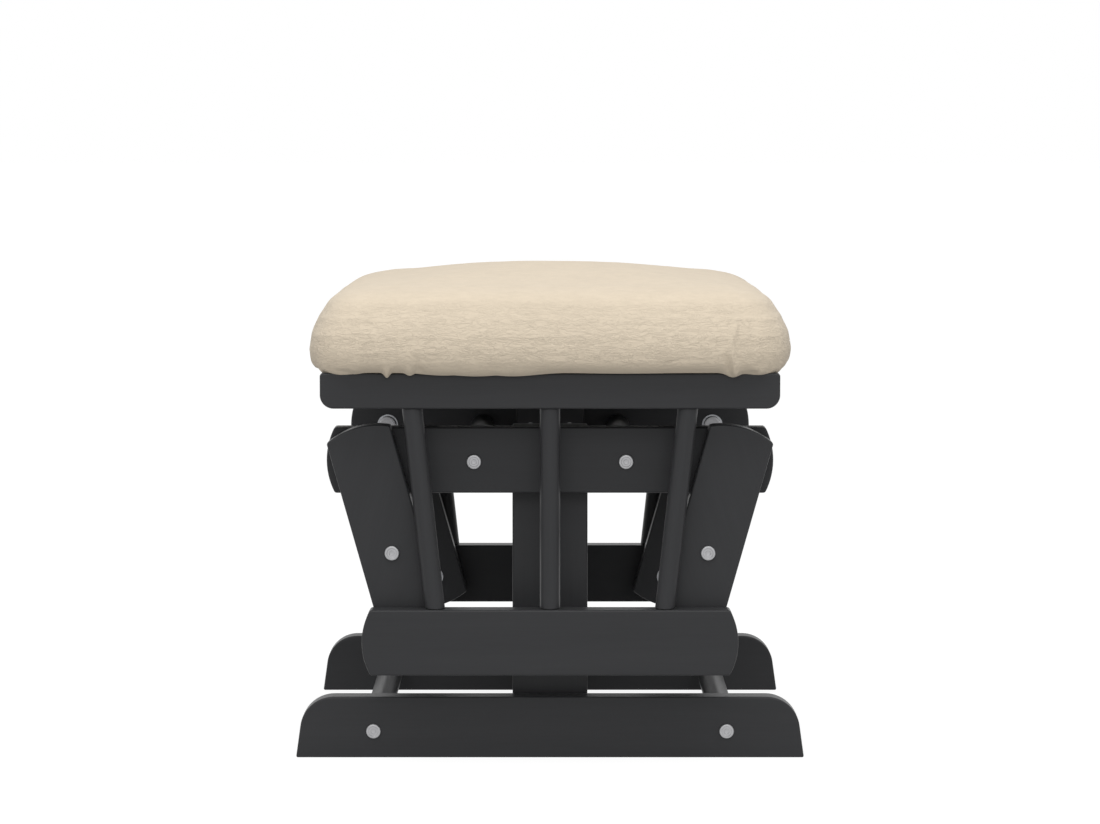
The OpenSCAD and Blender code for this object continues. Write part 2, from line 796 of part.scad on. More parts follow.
// Hook strips on the slats next to the outer ones, and loop strips under the cushion
module cushion_grip_strips() {
    color(strip_colour) both_sides() for (z = [slat_top, seat_top - strip_t])
        translate([-strip_length / 2, slat_pitch - strip_w / 2, z]) cube([strip_length, strip_w, strip_t]);
}

mirror([0, 1, 0]) skid();  // right_skid
skid();  // left_skid
mirror([0, 1, 0]) post();  // right_post
post();  // left_post
mirror([0, 1, 0]) pivot_rail();  // right_pivot_rail
pivot_rail();  // left_pivot_rail
skid_dowel();  // front_skid_dowel
mirror([1, 0, 0]) skid_dowel();  // rear_skid_dowel
rail_dowel();  // front_rail_dowel
mirror([1, 0, 0]) rail_dowel();  // rear_rail_dowel
base_dowel_bolts();
base_dowel_inserts();
post_screws();
upper_bearing_outer_rings();
upper_bearing_balls();

mirror([0, 1, 0]) arm();  // front_right_arm
arm();  // front_left_arm
arm_dowel();  // front_arm_dowel
arm_bolts();  // front_arm_bolts
arm_dowel_inserts();  // front_arm_dowel_inserts
upper_pivot_bolts();  // front_upper_pivot_bolts
upper_inner_rings();  // front_upper_inner_rings
upper_sleeves();  // front_upper_sleeves
upper_inserts();  // front_upper_inserts
lower_outer_rings();  // front_lower_outer_rings
lower_balls();  // front_lower_balls
lower_inner_rings();  // front_lower_inner_rings
lower_pivot_bolts(open_bolt_end);  // front_lower_pivot_bolts
lower_sleeves(open_pivot_gap);  // front_lower_sleeves

mirror([1, 0, 0]) mirror([0, 1, 0]) arm();  // rear_right_arm
mirror([1, 0, 0]) arm();  // rear_left_arm
mirror([1, 0, 0]) arm_dowel();  // rear_arm_dowel
mirror([1, 0, 0]) arm_bolts();  // rear_arm_bolts
mirror([1, 0, 0]) arm_dowel_inserts();  // rear_arm_dowel_inserts
mirror([1, 0, 0]) upper_pivot_bolts();  // rear_upper_pivot_bolts
mirror([1, 0, 0]) upper_inner_rings();  // rear_upper_inner_rings
mirror([1, 0, 0]) upper_sleeves();  // rear_upper_sleeves
mirror([1, 0, 0]) upper_inserts();  // rear_upper_inserts
mirror([1, 0, 0]) lower_outer_rings();  // rear_lower_outer_rings
mirror([1, 0, 0]) lower_balls();  // rear_lower_balls

mirror([0, 1, 0]) glide_rail();  // right_glide_rail
glide_rail();  // left_glide_rail
mirror([0, 1, 0]) seat_rail();  // right_seat_rail
seat_rail();  // left_seat_rail
mirror([0, 1, 0]) spindles();  // right_spindles
spindles();  // left_spindles
cross_rail();  // front_cross_rail
mirror([1, 0, 0]) cross_rail();  // rear_cross_rail
cross_rail_pins();
seat_slats();
slat_screws();
mirror([1, 0, 0]) lower_pivot_bolts(lower_bolt_end);  // rear_lower_pivot_bolts
mirror([1, 0, 0]) lower_inner_rings();  // rear_lower_inner_rings
mirror([1, 0, 0]) lower_sleeves(0);  // rear_lower_sleeves
lower_pivot_inserts();
cushion_grip_strips();
cushion_underside();
cushion_foam();
cushion_cover();
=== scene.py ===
"""A glider ottoman in dark painted wood with a linen cushion.

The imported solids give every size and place. Each operator dresses one group of pieces:
boards with softened edges, turned dowels and spindles, zinc bolts, bearings and the cushion."""
import json
import math

import bmesh
import bpy
import numpy as np
from bpy.props import FloatProperty, FloatVectorProperty, IntProperty, PointerProperty
from mathutils import Euler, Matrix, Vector, noise
from mathutils.bvhtree import BVHTree

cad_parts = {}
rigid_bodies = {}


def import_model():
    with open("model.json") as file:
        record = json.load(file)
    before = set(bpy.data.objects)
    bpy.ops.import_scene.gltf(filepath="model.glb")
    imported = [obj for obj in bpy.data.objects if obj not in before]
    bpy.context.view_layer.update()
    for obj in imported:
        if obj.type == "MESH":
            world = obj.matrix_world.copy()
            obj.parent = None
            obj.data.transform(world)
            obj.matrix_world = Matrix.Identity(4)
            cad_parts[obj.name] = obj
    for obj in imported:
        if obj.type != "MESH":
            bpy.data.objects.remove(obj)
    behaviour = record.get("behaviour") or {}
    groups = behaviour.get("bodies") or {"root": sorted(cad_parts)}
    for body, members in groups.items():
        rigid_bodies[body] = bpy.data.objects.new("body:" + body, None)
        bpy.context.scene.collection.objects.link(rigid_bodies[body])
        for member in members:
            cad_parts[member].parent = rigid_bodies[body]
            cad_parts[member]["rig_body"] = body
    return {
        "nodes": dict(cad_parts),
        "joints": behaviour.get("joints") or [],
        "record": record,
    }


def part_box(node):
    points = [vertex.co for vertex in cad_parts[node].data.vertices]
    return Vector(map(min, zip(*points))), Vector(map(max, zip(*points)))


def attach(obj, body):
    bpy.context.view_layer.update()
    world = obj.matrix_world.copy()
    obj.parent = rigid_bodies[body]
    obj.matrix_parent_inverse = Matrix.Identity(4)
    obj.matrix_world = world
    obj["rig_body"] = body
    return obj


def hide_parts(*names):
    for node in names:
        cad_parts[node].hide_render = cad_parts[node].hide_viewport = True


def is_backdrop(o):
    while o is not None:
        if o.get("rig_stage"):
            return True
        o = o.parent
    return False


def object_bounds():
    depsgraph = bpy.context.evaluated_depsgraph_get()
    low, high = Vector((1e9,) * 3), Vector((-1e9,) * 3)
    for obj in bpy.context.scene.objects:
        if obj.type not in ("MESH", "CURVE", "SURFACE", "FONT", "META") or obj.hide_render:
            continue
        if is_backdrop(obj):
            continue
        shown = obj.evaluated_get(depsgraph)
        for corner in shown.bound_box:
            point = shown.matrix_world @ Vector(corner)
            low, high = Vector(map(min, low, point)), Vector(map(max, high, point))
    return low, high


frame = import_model()
CAD_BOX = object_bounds()

bl_info = {
    "name": "Glider Ottoman",
    "version": (1, 0, 0),
    "blender": (4, 5, 0),
    "location": "3D View > Sidebar > Ottoman",
    "description": "Dresses the solids of a glider ottoman with paint, zinc and linen",
    "category": "Add Mesh",
}

MM = 0.001
# Two vertices closer than this are one
WELD = 0.005 * MM
# A board's outline turns a corner where it bends by more than this
CORNER_TURN = math.radians(20)
# How far a cutter stands out of the face that it opens
CUT_OVER = 1 * MM
# The axes that boards are drawn along: their thickness lies along Y or Z
ALONG_Y, ALONG_Z = 1, 2


# Sizes and colours that a user would change


def length_setting(name, description, default, low, high):
    """A length in the panel. Its default and limits are given in millimetres."""
    return FloatProperty(
        name=name, description=description, default=default * MM, min=low * MM, max=high * MM,
        unit="LENGTH")


def colour_setting(name, description, default):
    """A linear colour in the panel."""
    return FloatVectorProperty(
        name=name, description=description, default=default, subtype="COLOR", min=0, max=1)


class OttomanSizes(bpy.types.PropertyGroup):
    """Sizes of the soft edges, the turned pieces and the cushion's sewing."""

    board_edge: length_setting(
        "Board Edge", "Rounding of the boards' edges", 1.6, 0.2, 4)
    slat_edge: length_setting(
        "Slat Edge", "Rounding of the slats' and cross rails' edges", 1.2, 0.2, 3)
    turned_edge: length_setting(
        "Turned Edge", "Chamfer at the ends of dowels and spindles", 0.8, 0.2, 2)
    hole_gap: length_setting(
        "Hole Gap", "Gap round what is set into a board", 0.1, 0.02, 0.5)
    turned_sides: IntProperty(
        name="Turned Sides", description="Facets round every turned piece",
        default=48, min=24, max=96)
    cushion_voxel: length_setting(
        "Cushion Voxel", "Size of the squares that the cover is sewn from", 5, 3, 8)
    cushion_keep: FloatProperty(
        name="Cushion Keep", description="Share of the filled cloth's own form that stays",
        default=0.35, min=0, max=1, subtype="FACTOR")
    cushion_swell: length_setting(
        "Cushion Swell", "The most that the filling pushes the cover out", 3.0, 0, 12)
    fold_height: length_setting(
        "Fold Height", "How far the sewn folds of the cover stand out", 2.2, 0, 5)
    hem_drop: length_setting(
        "Hem Drop", "How far the loosest part of the hem hangs down", 3.4, 0, 6)
    hem_lift: length_setting(
        "Hem Lift", "How far the hem rises between its loose places", 1.6, 0, 4)
    hem_tuck: length_setting(
        "Hem Tuck", "How far the hem is drawn in below the straight sides", 4.5, 0, 12)
    crinkle: length_setting(
        "Crinkle", "Height of the soft unevenness of the cover", 0.35, 0, 2)


class OttomanColours(bpy.types.PropertyGroup):
    """Colours of the finishes, as linear values."""

    paint: colour_setting("Paint", "Dark grey paint on all the wood", (0.0355, 0.036, 0.038))
    zinc: colour_setting("Zinc", "Dull zinc plate on the bolts", (0.39, 0.39, 0.40))
    steel: colour_setting("Steel", "Ground steel of rings, balls and sleeves", (0.46, 0.47, 0.49))
    brass: colour_setting("Brass", "Brass of the threaded inserts", (0.58, 0.44, 0.19))
    beech: colour_setting("Beech", "Bare beech of the hidden pins", (0.60, 0.42, 0.24))
    linen: colour_setting("Linen", "Cream linen of the cushion cover", (0.667, 0.573, 0.447))
    lining: colour_setting("Lining", "Plain cloth under the cushion", (0.50, 0.44, 0.33))
    foam: colour_setting("Foam", "Upholstery foam inside the cover", (0.80, 0.72, 0.45))
    tape: colour_setting("Tape", "Hook-and-loop strips under the cushion", (0.02, 0.02, 0.022))
    floor: colour_setting("Floor", "Pale studio floor", (0.52, 0.52, 0.52))


class OttomanStudio(bpy.types.PropertyGroup):
    """The camera and the lamps."""

    distance: FloatProperty(
        name="Distance", description="From the camera to the middle of the ottoman",
        default=2.840, min=1, max=6, unit="LENGTH")
    height: FloatProperty(
        name="Height", description="Height of the camera above the floor",
        default=0.514, min=0.1, max=2, unit="LENGTH")
    tilt: FloatProperty(
        name="Tilt", description="How far the camera looks down",
        default=math.radians(4.846), min=0, max=1, unit="ROTATION")
    lens: FloatProperty(
        name="Lens", description="Focal length in millimetres on a 36 mm wide film",
        default=106.36, min=20, max=300)
    key_power: FloatProperty(
        name="Key Power", description="Power of the large lamp overhead, in watts",
        default=23, min=0, max=500, unit="POWER")
    fill_power: FloatProperty(
        name="Fill Power", description="Power of the lamp above the camera, in watts",
        default=26, min=0, max=500, unit="POWER")
    sky: FloatProperty(
        name="Sky", description="Strength of the even light from all round",
        default=0.66, min=0, max=2)
    floor_glow: FloatProperty(
        name="Floor Glow", description="Brightness that the camera adds to the lit floor",
        default=1.27, min=0, max=2)


# Shader maths


class Wire:
    """A shader socket that can be added, taken away and multiplied."""

    def __init__(self, finish, socket):
        self.finish = finish
        self.socket = socket

    def join(self, operation, first, second=0.0):
        return self.finish.node(
            "ShaderNodeMath", {"operation": operation}, {0: first, 1: second})

    def __add__(self, other):
        return self.join("ADD", self, other)

    def __radd__(self, other):
        return self.join("ADD", other, self)

    def __sub__(self, other):
        return self.join("SUBTRACT", self, other)

    def __rsub__(self, other):
        return self.join("SUBTRACT", other, self)

    def __mul__(self, other):
        return self.join("MULTIPLY", self, other)

    def __rmul__(self, other):
        return self.join("MULTIPLY", other, self)

    def __abs__(self):
        return self.join("ABSOLUTE", self)

    def sine(self):
        return self.join("SINE", self)


class Finish:
    """One new material, with a method that adds any node to it."""

    def __init__(self, name, tree=None):
        self.material = None
        if tree is None:
            self.material = bpy.data.materials.new(name)
            self.material.use_nodes = True
            tree = self.material.node_tree
        self.tree = tree

    def node(self, kind, settings=None, sockets=None, output=0):
        """A new node's output. Settings are set first, then values or wires go to the sockets."""
        made = self.tree.nodes.new(kind)
        for name, value in (settings or {}).items():
            if name == "stops":
                self.set_stops(made.color_ramp, value)
            else:
                setattr(made, name, value)
        for key, value in (sockets or {}).items():
            if isinstance(value, Wire):
                self.tree.links.new(value.socket, made.inputs[key])
            else:
                made.inputs[key].default_value = value
        return Wire(self, made.outputs[output])

    @staticmethod
    def set_stops(ramp, stops):
        while len(ramp.elements) < len(stops):
            ramp.elements.new(1.0)
        for element, (place, colour) in zip(ramp.elements, stops):
            element.position = place
            element.color = colour

    def feed(self, **sockets):
        """Gives the main shader its values; a name's underscores are spaces."""
        shader = self.tree.nodes["Principled BSDF"]
        for name, value in sockets.items():
            socket = shader.inputs[name.replace("_", " ")]
            if isinstance(value, Wire):
                self.tree.links.new(value.socket, socket)
            else:
                socket.default_value = value
        return self.material

    def place(self):
        """Where a point lies on its piece, in metres."""
        return self.node("ShaderNodeTexCoord", output="Object")

    def turned(self, vector, turn):
        return self.node("ShaderNodeMapping", {}, {"Vector": vector, "Rotation": turn})

    def stretched(self, vector, scale):
        return self.node("ShaderNodeMapping", {}, {"Vector": vector, "Scale": scale})

    def clouds(self, vector, scale=1.0, detail=3.0, roughness=0.5, warp=0.0):
        """Soft noise from 0 to 1; warp bends its shapes."""
        return self.node("ShaderNodeTexNoise", {}, {
            "Vector": vector, "Scale": scale, "Detail": detail, "Roughness": roughness,
            "Distortion": warp})

    def tinted(self, mask, low, high):
        """A colour that runs from low to high as the mask goes from 0 to 1."""
        return self.node(
            "ShaderNodeMix", {"data_type": "RGBA"}, {0: mask, 6: low, 7: high}, output=2)

    def ramp(self, value, stops):
        grey = [(place, (level, level, level, 1)) for place, level in stops]
        return self.node("ShaderNodeValToRGB", {"stops": grey}, {"Fac": value})

    def bump(self, height, distance, strength=1.0):
        return self.node("ShaderNodeBump", {}, {
            "Height": height, "Distance": distance, "Strength": strength})


def shade(colour, share):
    """The colour made lighter or darker, with its alpha."""
    return tuple(min(1.0, channel * share) for channel in colour) + (1.0,)


# Finishes


GRAIN_ALONG = {
    "x": (0, 0, 0),
    "y": (0, 0, math.radians(90)),
    "z": (0, math.radians(90), 0),
}


def painted_wood(name, turn):
    """Satin paint through which the grain shows faintly; turn lays the grain along X."""
    paint = bpy.context.scene.ottoman_colours.paint
    finish = Finish(name)
    along = finish.turned(finish.place(), turn)
    figure = finish.clouds(finish.stretched(along, (5, 70, 70)), detail=4)
    fibre = finish.clouds(finish.stretched(along, (30, 700, 700)), detail=3)
    peel = finish.clouds(along, scale=420, detail=2)
    height = figure * 0.5 + fibre * 0.35 + peel * 0.15
    return finish.feed(
        Base_Color=finish.tinted(
            figure * 0.6 + fibre * 0.4, shade(paint, 0.86), shade(paint, 1.16)),
        Roughness=0.30 + fibre * 0.10 + peel * 0.06,
        Normal=finish.bump(height, 0.16 * MM, 0.5),
        Specular_IOR_Level=0.16)


def dull_metal(name, colour, rough):
    """Plated or ground metal with a faint cloudiness and fine marks."""
    finish = Finish(name)
    place = finish.place()
    cloud = finish.clouds(place, scale=260, detail=3)
    marks = finish.clouds(finish.stretched(place, (1500, 220, 1500)), detail=2)
    return finish.feed(
        Base_Color=finish.tinted(cloud, shade(colour, 0.86), shade(colour, 1.12)),
        Roughness=rough + cloud * 0.14 + marks * 0.06,
        Metallic=1.0,
        Normal=finish.bump(marks * 0.6 + cloud * 0.4, 0.05 * MM, 0.5))


def weave(finish, place, threads):
    """Height of a plain weave, drawn on the three faces of space by where the surface looks."""
    axes = finish.node("ShaderNodeSeparateXYZ", {}, {0: place})
    facing = finish.node("ShaderNodeSeparateXYZ", {}, {
        0: finish.node("ShaderNodeTexCoord", output="Normal")})
    ways = ["X", "Y", "Z"]
    part = {w: Wire(finish, axes.socket.node.outputs[w]) for w in ways}
    look = {w: Wire(finish, facing.socket.node.outputs[w]) for w in ways}
    wave = {w: (part[w] * (math.pi * threads)).sine() for w in ways}
    height = None
    for out, one, two in (("X", "Y", "Z"), ("Y", "X", "Z"), ("Z", "X", "Y")):
        cloth = abs(wave[one]) * abs(wave[two]) * (look[out] * look[out])
        height = cloth if height is None else height + cloth
    return height


def linen(name, colour):
    """Cream slub linen: a fine weave, and short creases that lie level round the sides."""
    finish = Finish(name)
    place = finish.place()
    look = finish.node("ShaderNodeSeparateXYZ", {}, {
        0: finish.node("ShaderNodeTexCoord", output="Normal")})
    level = Wire(finish, look.socket.node.outputs["Z"])
    upright = 1 - level * level
    slub = finish.clouds(finish.stretched(place, (80, 80, 460)), detail=4, roughness=0.6, warp=0.4)
    crease = finish.clouds(
        finish.stretched(place, (100, 100, 340)), detail=3, roughness=0.55, warp=1.1)
    fold_lines = finish.ramp(abs(crease * 2 - 1), [(0.0, 1.0), (0.16, 0.0)])
    pucker = finish.clouds(finish.stretched(place, (150, 150, 260)), detail=3, warp=0.7)
    mottle = finish.clouds(place, scale=34, detail=4, roughness=0.6)
    speck = finish.clouds(place, scale=900, detail=2)
    threads = weave(finish, place, 1300)
    # Random slub, mottle, pucker and speck tone, with painted shade that darkens the colour along
    # the crease lines on the upright sides
    tone_and_crease_shade = (slub * 0.38 + mottle * 0.24 + pucker * 0.20 + speck * 0.18
            - fold_lines * upright * 0.10)
    height = (slub * 0.32 + fold_lines * 0.24 + pucker * 0.40) * upright + threads * 0.04
    return finish.feed(
        Base_Color=finish.tinted(
            finish.ramp(tone_and_crease_shade, [(0.30, 0.0), (0.68, 1.0)]),
            shade(colour, 0.92), shade(colour, 1.06)),
        Roughness=0.86 + speck * 0.10,
        Normal=finish.bump(height, 1.7 * MM, 0.7),
        Specular_IOR_Level=0.22,
        Sheen_Weight=0.12,
        Sheen_Roughness=0.5)


def plain_cloth(name, colour, threads):
    """An even cloth for the lining, the foam and the strips."""
    finish = Finish(name)
    place = finish.place()
    mottle = finish.clouds(place, scale=120, detail=4, roughness=0.6)
    cells = finish.clouds(place, scale=threads, detail=2)
    return finish.feed(
        Base_Color=finish.tinted(
            mottle * 0.5 + cells * 0.5, shade(colour, 0.84), shade(colour, 1.14)),
        Roughness=0.88 + mottle * 0.08,
        Normal=finish.bump(weave(finish, place, threads) * 0.6 + cells * 0.4, 0.3 * MM, 0.6),
        Specular_IOR_Level=0.2)


def bare_beech(name, colour):
    """Unpainted wood with short flecks."""
    finish = Finish(name)
    along = finish.turned(finish.place(), GRAIN_ALONG["y"])
    fibre = finish.clouds(finish.stretched(along, (40, 600, 600)), detail=4)
    return finish.feed(
        Base_Color=finish.tinted(fibre, shade(colour, 0.7), shade(colour, 1.15)),
        Roughness=0.6 + fibre * 0.15,
        Normal=finish.bump(fibre, 0.1 * MM, 0.6))


def arm_turn(front):
    """Lays the grain of a leaning arm along X: its lean comes from the two pivots."""
    joints = {joint["name"]: joint for joint in frame["joints"]}
    upper = joints["rear_arm_swing"]["pos_m"]
    lower = joints["seat_pivot"]["pos_m"]
    lean = math.atan2(lower[0] - upper[0], upper[2] - lower[2])
    return (0, math.radians(90) + (lean if front else -lean), 0)


FINISHES = {}


def finish_named(name):
    """Each finish is made once, when a piece first asks for it."""
    if name not in FINISHES:
        colours = bpy.context.scene.ottoman_colours
        makers = {
            "wood_x": lambda: painted_wood(name, GRAIN_ALONG["x"]),
            "wood_y": lambda: painted_wood(name, GRAIN_ALONG["y"]),
            "wood_z": lambda: painted_wood(name, GRAIN_ALONG["z"]),
            "wood_front_arm": lambda: painted_wood(name, arm_turn(True)),
            "wood_rear_arm": lambda: painted_wood(name, arm_turn(False)),
            "zinc": lambda: dull_metal(name, colours.zinc, 0.38),
            "steel": lambda: dull_metal(name, colours.steel, 0.24),
            "brass": lambda: dull_metal(name, colours.brass, 0.30),
            "beech": lambda: bare_beech(name, colours.beech),
            "linen": lambda: linen(name, colours.linen),
            "lining": lambda: plain_cloth(name, colours.lining, 900),
            "foam": lambda: plain_cloth(name, colours.foam, 500),
            "tape": lambda: plain_cloth(name, colours.tape, 700),
        }
        FINISHES[name] = makers[name]()
    return FINISHES[name]


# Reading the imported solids


def welded(mesh):
    """A bmesh of the mesh with its split corners joined again."""
    shape = bmesh.new()
    shape.from_mesh(mesh)
    bmesh.ops.remove_doubles(shape, verts=shape.verts, dist=WELD)
    return shape


def solids_of(node):
    """The corners of each separate solid of a node, as arrays in metres."""
    shape = welded(frame["nodes"][node].data)
    waiting = set(shape.verts)
    found = []
    while waiting:
        open_ends = [waiting.pop()]
        corners = []
        while open_ends:
            vert = open_ends.pop()
            corners.append(vert.co[:])
            for edge in vert.link_edges:
                other = edge.other_vert(vert)
                if other in waiting:
                    waiting.remove(other)
                    open_ends.append(other)
        found.append(np.array(sorted(corners)))
    shape.free()
    return sorted(found, key=lambda corners: tuple(corners.mean(0).round(4)))


def body_of(node):
    return frame["nodes"][node]["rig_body"]


def slot_of(node):
    for row in frame["record"]["subparts"]:
        if row["node"] == node:
            return row["material_slot"]
    raise ValueError(f"{node} has no material slot")


# Making pieces


def new_piece(name, shape, finish):
    """A linked object from a bmesh, shaded smooth, with one finish."""
    mesh = bpy.data.meshes.new(name)
    shape.normal_update()
    shape.to_mesh(mesh)
    shape.free()
    for face in mesh.polygons:
        face.use_smooth = True
    mesh.materials.append(finish_named(finish))
    piece = bpy.data.objects.new(name, mesh)
    bpy.context.scene.collection.objects.link(piece)
    return piece


def settle(piece):
    """Applies every modifier of a piece to its mesh."""
    bpy.context.view_layer.update()
    seen = piece.evaluated_get(bpy.context.evaluated_depsgraph_get())
    mesh = bpy.data.meshes.new_from_object(seen)
    piece.modifiers.clear()
    old = piece.data
    piece.data = mesh
    bpy.data.meshes.remove(old)


def even_normals(piece):
    """Keeps the large faces flat to the eye and lets the rounded edges turn the light."""
    smoother = piece.modifiers.new("Even Normals", "WEIGHTED_NORMAL")
    smoother.mode = "FACE_AREA"
    smoother.weight = 60
    smoother.keep_sharp = True


def dress(piece, node):
    """The piece stands for the node and moves with its body; the node must have a material slot."""
    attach(piece, body_of(node))
    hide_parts(node)
    slot_of(node)


def finish_node(node, finish):
    """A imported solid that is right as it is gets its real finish."""
    obj = frame["nodes"][node]
    obj.data.materials.clear()
    obj.data.materials.append(finish_named(finish))


# Boards


def convex_outline(points):
    """The outline round flat points, turning left, without points on its straight runs."""
    points = sorted(set((round(float(a), 7), round(float(b), 7)) for a, b in points))

    def half(ordered):
        chain = []
        for point in ordered:
            while len(chain) > 1:
                (ax, ay), (bx, by) = chain[-2], chain[-1]
                turn = (bx - ax) * (point[1] - ay) - (by - ay) * (point[0] - ax)
                if turn > WELD * WELD:
                    break
                chain.pop()
            chain.append(point)
        return chain[:-1]

    return half(points) + half(points[::-1])


def add_slab(shape, corners, axis, edge):
    """A board with rounded edges, drawn from the outline of its solid seen along axis."""
    flat = [i for i in range(3) if i != axis]
    low, high = corners[:, axis].min(), corners[:, axis].max()
    outline = convex_outline(corners[:, flat])
    rows = []
    for level in (low, high):
        row = []
        for a, b in outline:
            place = [0.0, 0.0, 0.0]
            place[flat[0]], place[flat[1]], place[axis] = a, b, level
            row.append(shape.verts.new(place))
        rows.append(row)
    count = len(outline)
    faces = [shape.faces.new(rows[0]), shape.faces.new(rows[1][::-1])]
    round_off = []
    for i in range(count):
        j = (i + 1) % count
        faces.append(shape.faces.new((rows[0][j], rows[0][i], rows[1][i], rows[1][j])))
        before, here, after = (Vector(outline[k % count]) for k in (i - 1, i, i + 1))
        if (here - before).angle(after - here) > CORNER_TURN:
            round_off.append(shape.edges.get((rows[0][i], rows[1][i])))
        for row in rows:
            round_off.append(shape.edges.get((row[i], row[j])))
    bmesh.ops.recalc_face_normals(shape, faces=faces)
    bmesh.ops.bevel(
        shape, geom=round_off, offset=edge, offset_type="OFFSET", segments=4, profile=0.5,
        affect="EDGES", clamp_overlap=True)


def cutter(cuts):
    """One mesh of drums, for what is let into a board."""
    shape = bmesh.new()
    for start, end, radius in cuts:
        add_turned(shape, Vector(start), Vector(end), [(0, radius), (1, radius)])
    return new_piece("cutter", shape, "steel")


# How deep the pocket over a screw's head is
SCREW_POCKET = 2 * MM


def pockets(node, hardware, axis, depth=None):
    """The hollows that the hardware needs in a board: (start, end, radius) of each."""
    low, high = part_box(node)
    gap = bpy.context.scene.ottoman_sizes.hole_gap
    flat = [i for i in range(3) if i != axis]
    found = []
    for name in hardware:
        for corners in solids_of(name):
            near, far = corners.min(0), corners.max(0)
            middle = (near + far) / 2
            inside = all(low[i] < middle[i] < high[i] for i in flat)
            if not inside or far[axis] < low[axis] - WELD or near[axis] > high[axis] + WELD:
                continue
            radius = (far[flat[0]] - near[flat[0]]) / 2 + gap
            start, end = middle.copy(), middle.copy()
            start[axis], end[axis] = near[axis], far[axis]
            outward_high = abs(far[axis] - high[axis]) < abs(near[axis] - low[axis])
            if outward_high:
                end[axis] = high[axis] + CUT_OVER
                start[axis] = far[axis] - depth if depth else near[axis]
            else:
                start[axis] = low[axis] - CUT_OVER
                end[axis] = near[axis] + depth if depth else far[axis]
            found.append((start, end, radius))
    return found


def make_board(node, finish, axis=ALONG_Y, edge=None, cuts=()):
    """Replaces a board's solid, or its several boards, with rounded ones."""
    sizes = bpy.context.scene.ottoman_sizes
    shape = bmesh.new()
    for corners in solids_of(node):
        slab = bmesh.new()
        add_slab(slab, corners, axis, edge or sizes.board_edge)
        part = bpy.data.meshes.new("part")
        slab.to_mesh(part)
        slab.free()
        shape.from_mesh(part)
        bpy.data.meshes.remove(part)
    piece = new_piece(node + "_board", shape, finish)
    if cuts:
        tool = cutter(cuts)
        carve = piece.modifiers.new("Carve", "BOOLEAN")
        carve.operation = "DIFFERENCE"
        carve.solver = "EXACT"
        carve.object = tool
        settle(piece)
        drum = tool.data
        bpy.data.objects.remove(tool)
        bpy.data.meshes.remove(drum)
    even_normals(piece)
    dress(piece, node)
    return piece


# Turned pieces


def join_rings(shape, rings):
    """Skins a closed body over rings with the same number of points."""
    rows = [[shape.verts.new(point) for point in ring] for ring in rings]
    for one, two in zip(rows, rows[1:]):
        for i in range(len(one)):
            j = (i + 1) % len(one)
            shape.faces.new((one[i], one[j], two[j], two[i]))
    shape.faces.new(rows[0][::-1])
    shape.faces.new(rows[-1])


def spokes(axis):
    """Unit vectors round an axis, with the angle of each."""
    sides = bpy.context.scene.ottoman_sizes.turned_sides
    side = axis.orthogonal().normalized()
    up = axis.cross(side)
    for i in range(sides):
        angle = 2 * math.pi * i / sides
        yield angle, side * math.cos(angle) + up * math.sin(angle)


def add_turned(shape, start, end, stations):
    """A closed turned body. Each station is (share of the way, radius or radius by angle)."""
    around = list(spokes((end - start).normalized()))
    join_rings(shape, [
        [start.lerp(end, share) + spoke * (radius(angle) if callable(radius) else radius)
         for angle, spoke in around]
        for share, radius in stations])


def axis_ends(corners):
    """The ends and the radius of a round bar, from the corners of its solid."""
    middle = (corners.min(0) + corners.max(0)) / 2
    spread = corners - corners.mean(0)
    axis = np.linalg.eigh(spread.T @ spread)[1][:, -1]
    # It comes out pointing either way, so it is turned to the positive side
    axis *= np.sign(axis[np.abs(axis).argmax()])
    along = (corners - middle) @ axis
    out = np.linalg.norm((corners - middle) - np.outer(along, axis), axis=1)
    return Vector(middle + axis * along.min()), Vector(middle + axis * along.max()), out.max()


def make_bars(node, finish):
    """Turned bars with chamfered ends in place of plain ones."""
    chamfer = bpy.context.scene.ottoman_sizes.turned_edge
    shape = bmesh.new()
    for corners in solids_of(node):
        start, end, radius = axis_ends(corners)
        share = chamfer / (end - start).length
        add_turned(shape, start, end, [
            (0, radius - chamfer), (share, radius), (1 - share, radius), (1, radius - chamfer)])
    piece = new_piece(node + "_turned", shape, finish)
    even_normals(piece)
    dress(piece, node)


# The tenons reach at least this far into the rails
TENON_ZONE = 5 * MM


def spindle_axes(side):
    """Each spindle's two tenon ends, the radii of tenon and shaft, and its shoulders' heights."""
    foot_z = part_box(f"{side}_glide_rail")[1][2]
    top_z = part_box(f"{side}_seat_rail")[0][2]
    for corners in solids_of(f"{side}_spindles"):
        ends = []
        for picked in (corners[:, 2] < foot_z - TENON_ZONE, corners[:, 2] > top_z + TENON_ZONE):
            disc = corners[picked]
            ends.append(Vector((disc.min(0) + disc.max(0)) / 2))
        start, end = ends
        axis = np.array((end - start).normalized())
        reach = corners - np.array(start)
        out = np.linalg.norm(reach - np.outer(reach @ axis, axis), axis=1)
        yield start, end, out[corners[:, 2] < foot_z - TENON_ZONE].max(), out.max(), foot_z, top_z


def tenon_holes(side, upper):
    """The holes that a rail needs for its tenons: (start, end, radius) of each."""
    gap = bpy.context.scene.ottoman_sizes.hole_gap
    found = []
    for start, end, tenon, shaft, foot_z, top_z in spindle_axes(side):
        axis = (end - start).normalized()
        if upper:
            mouth = end - axis * ((end.z - top_z) / axis.z + CUT_OVER)
            found.append((mouth, end + axis * gap, tenon + gap))
        else:
            mouth = start + axis * ((foot_z - start.z) / axis.z + CUT_OVER)
            found.append((start - axis * gap, mouth, tenon + gap))
    return found


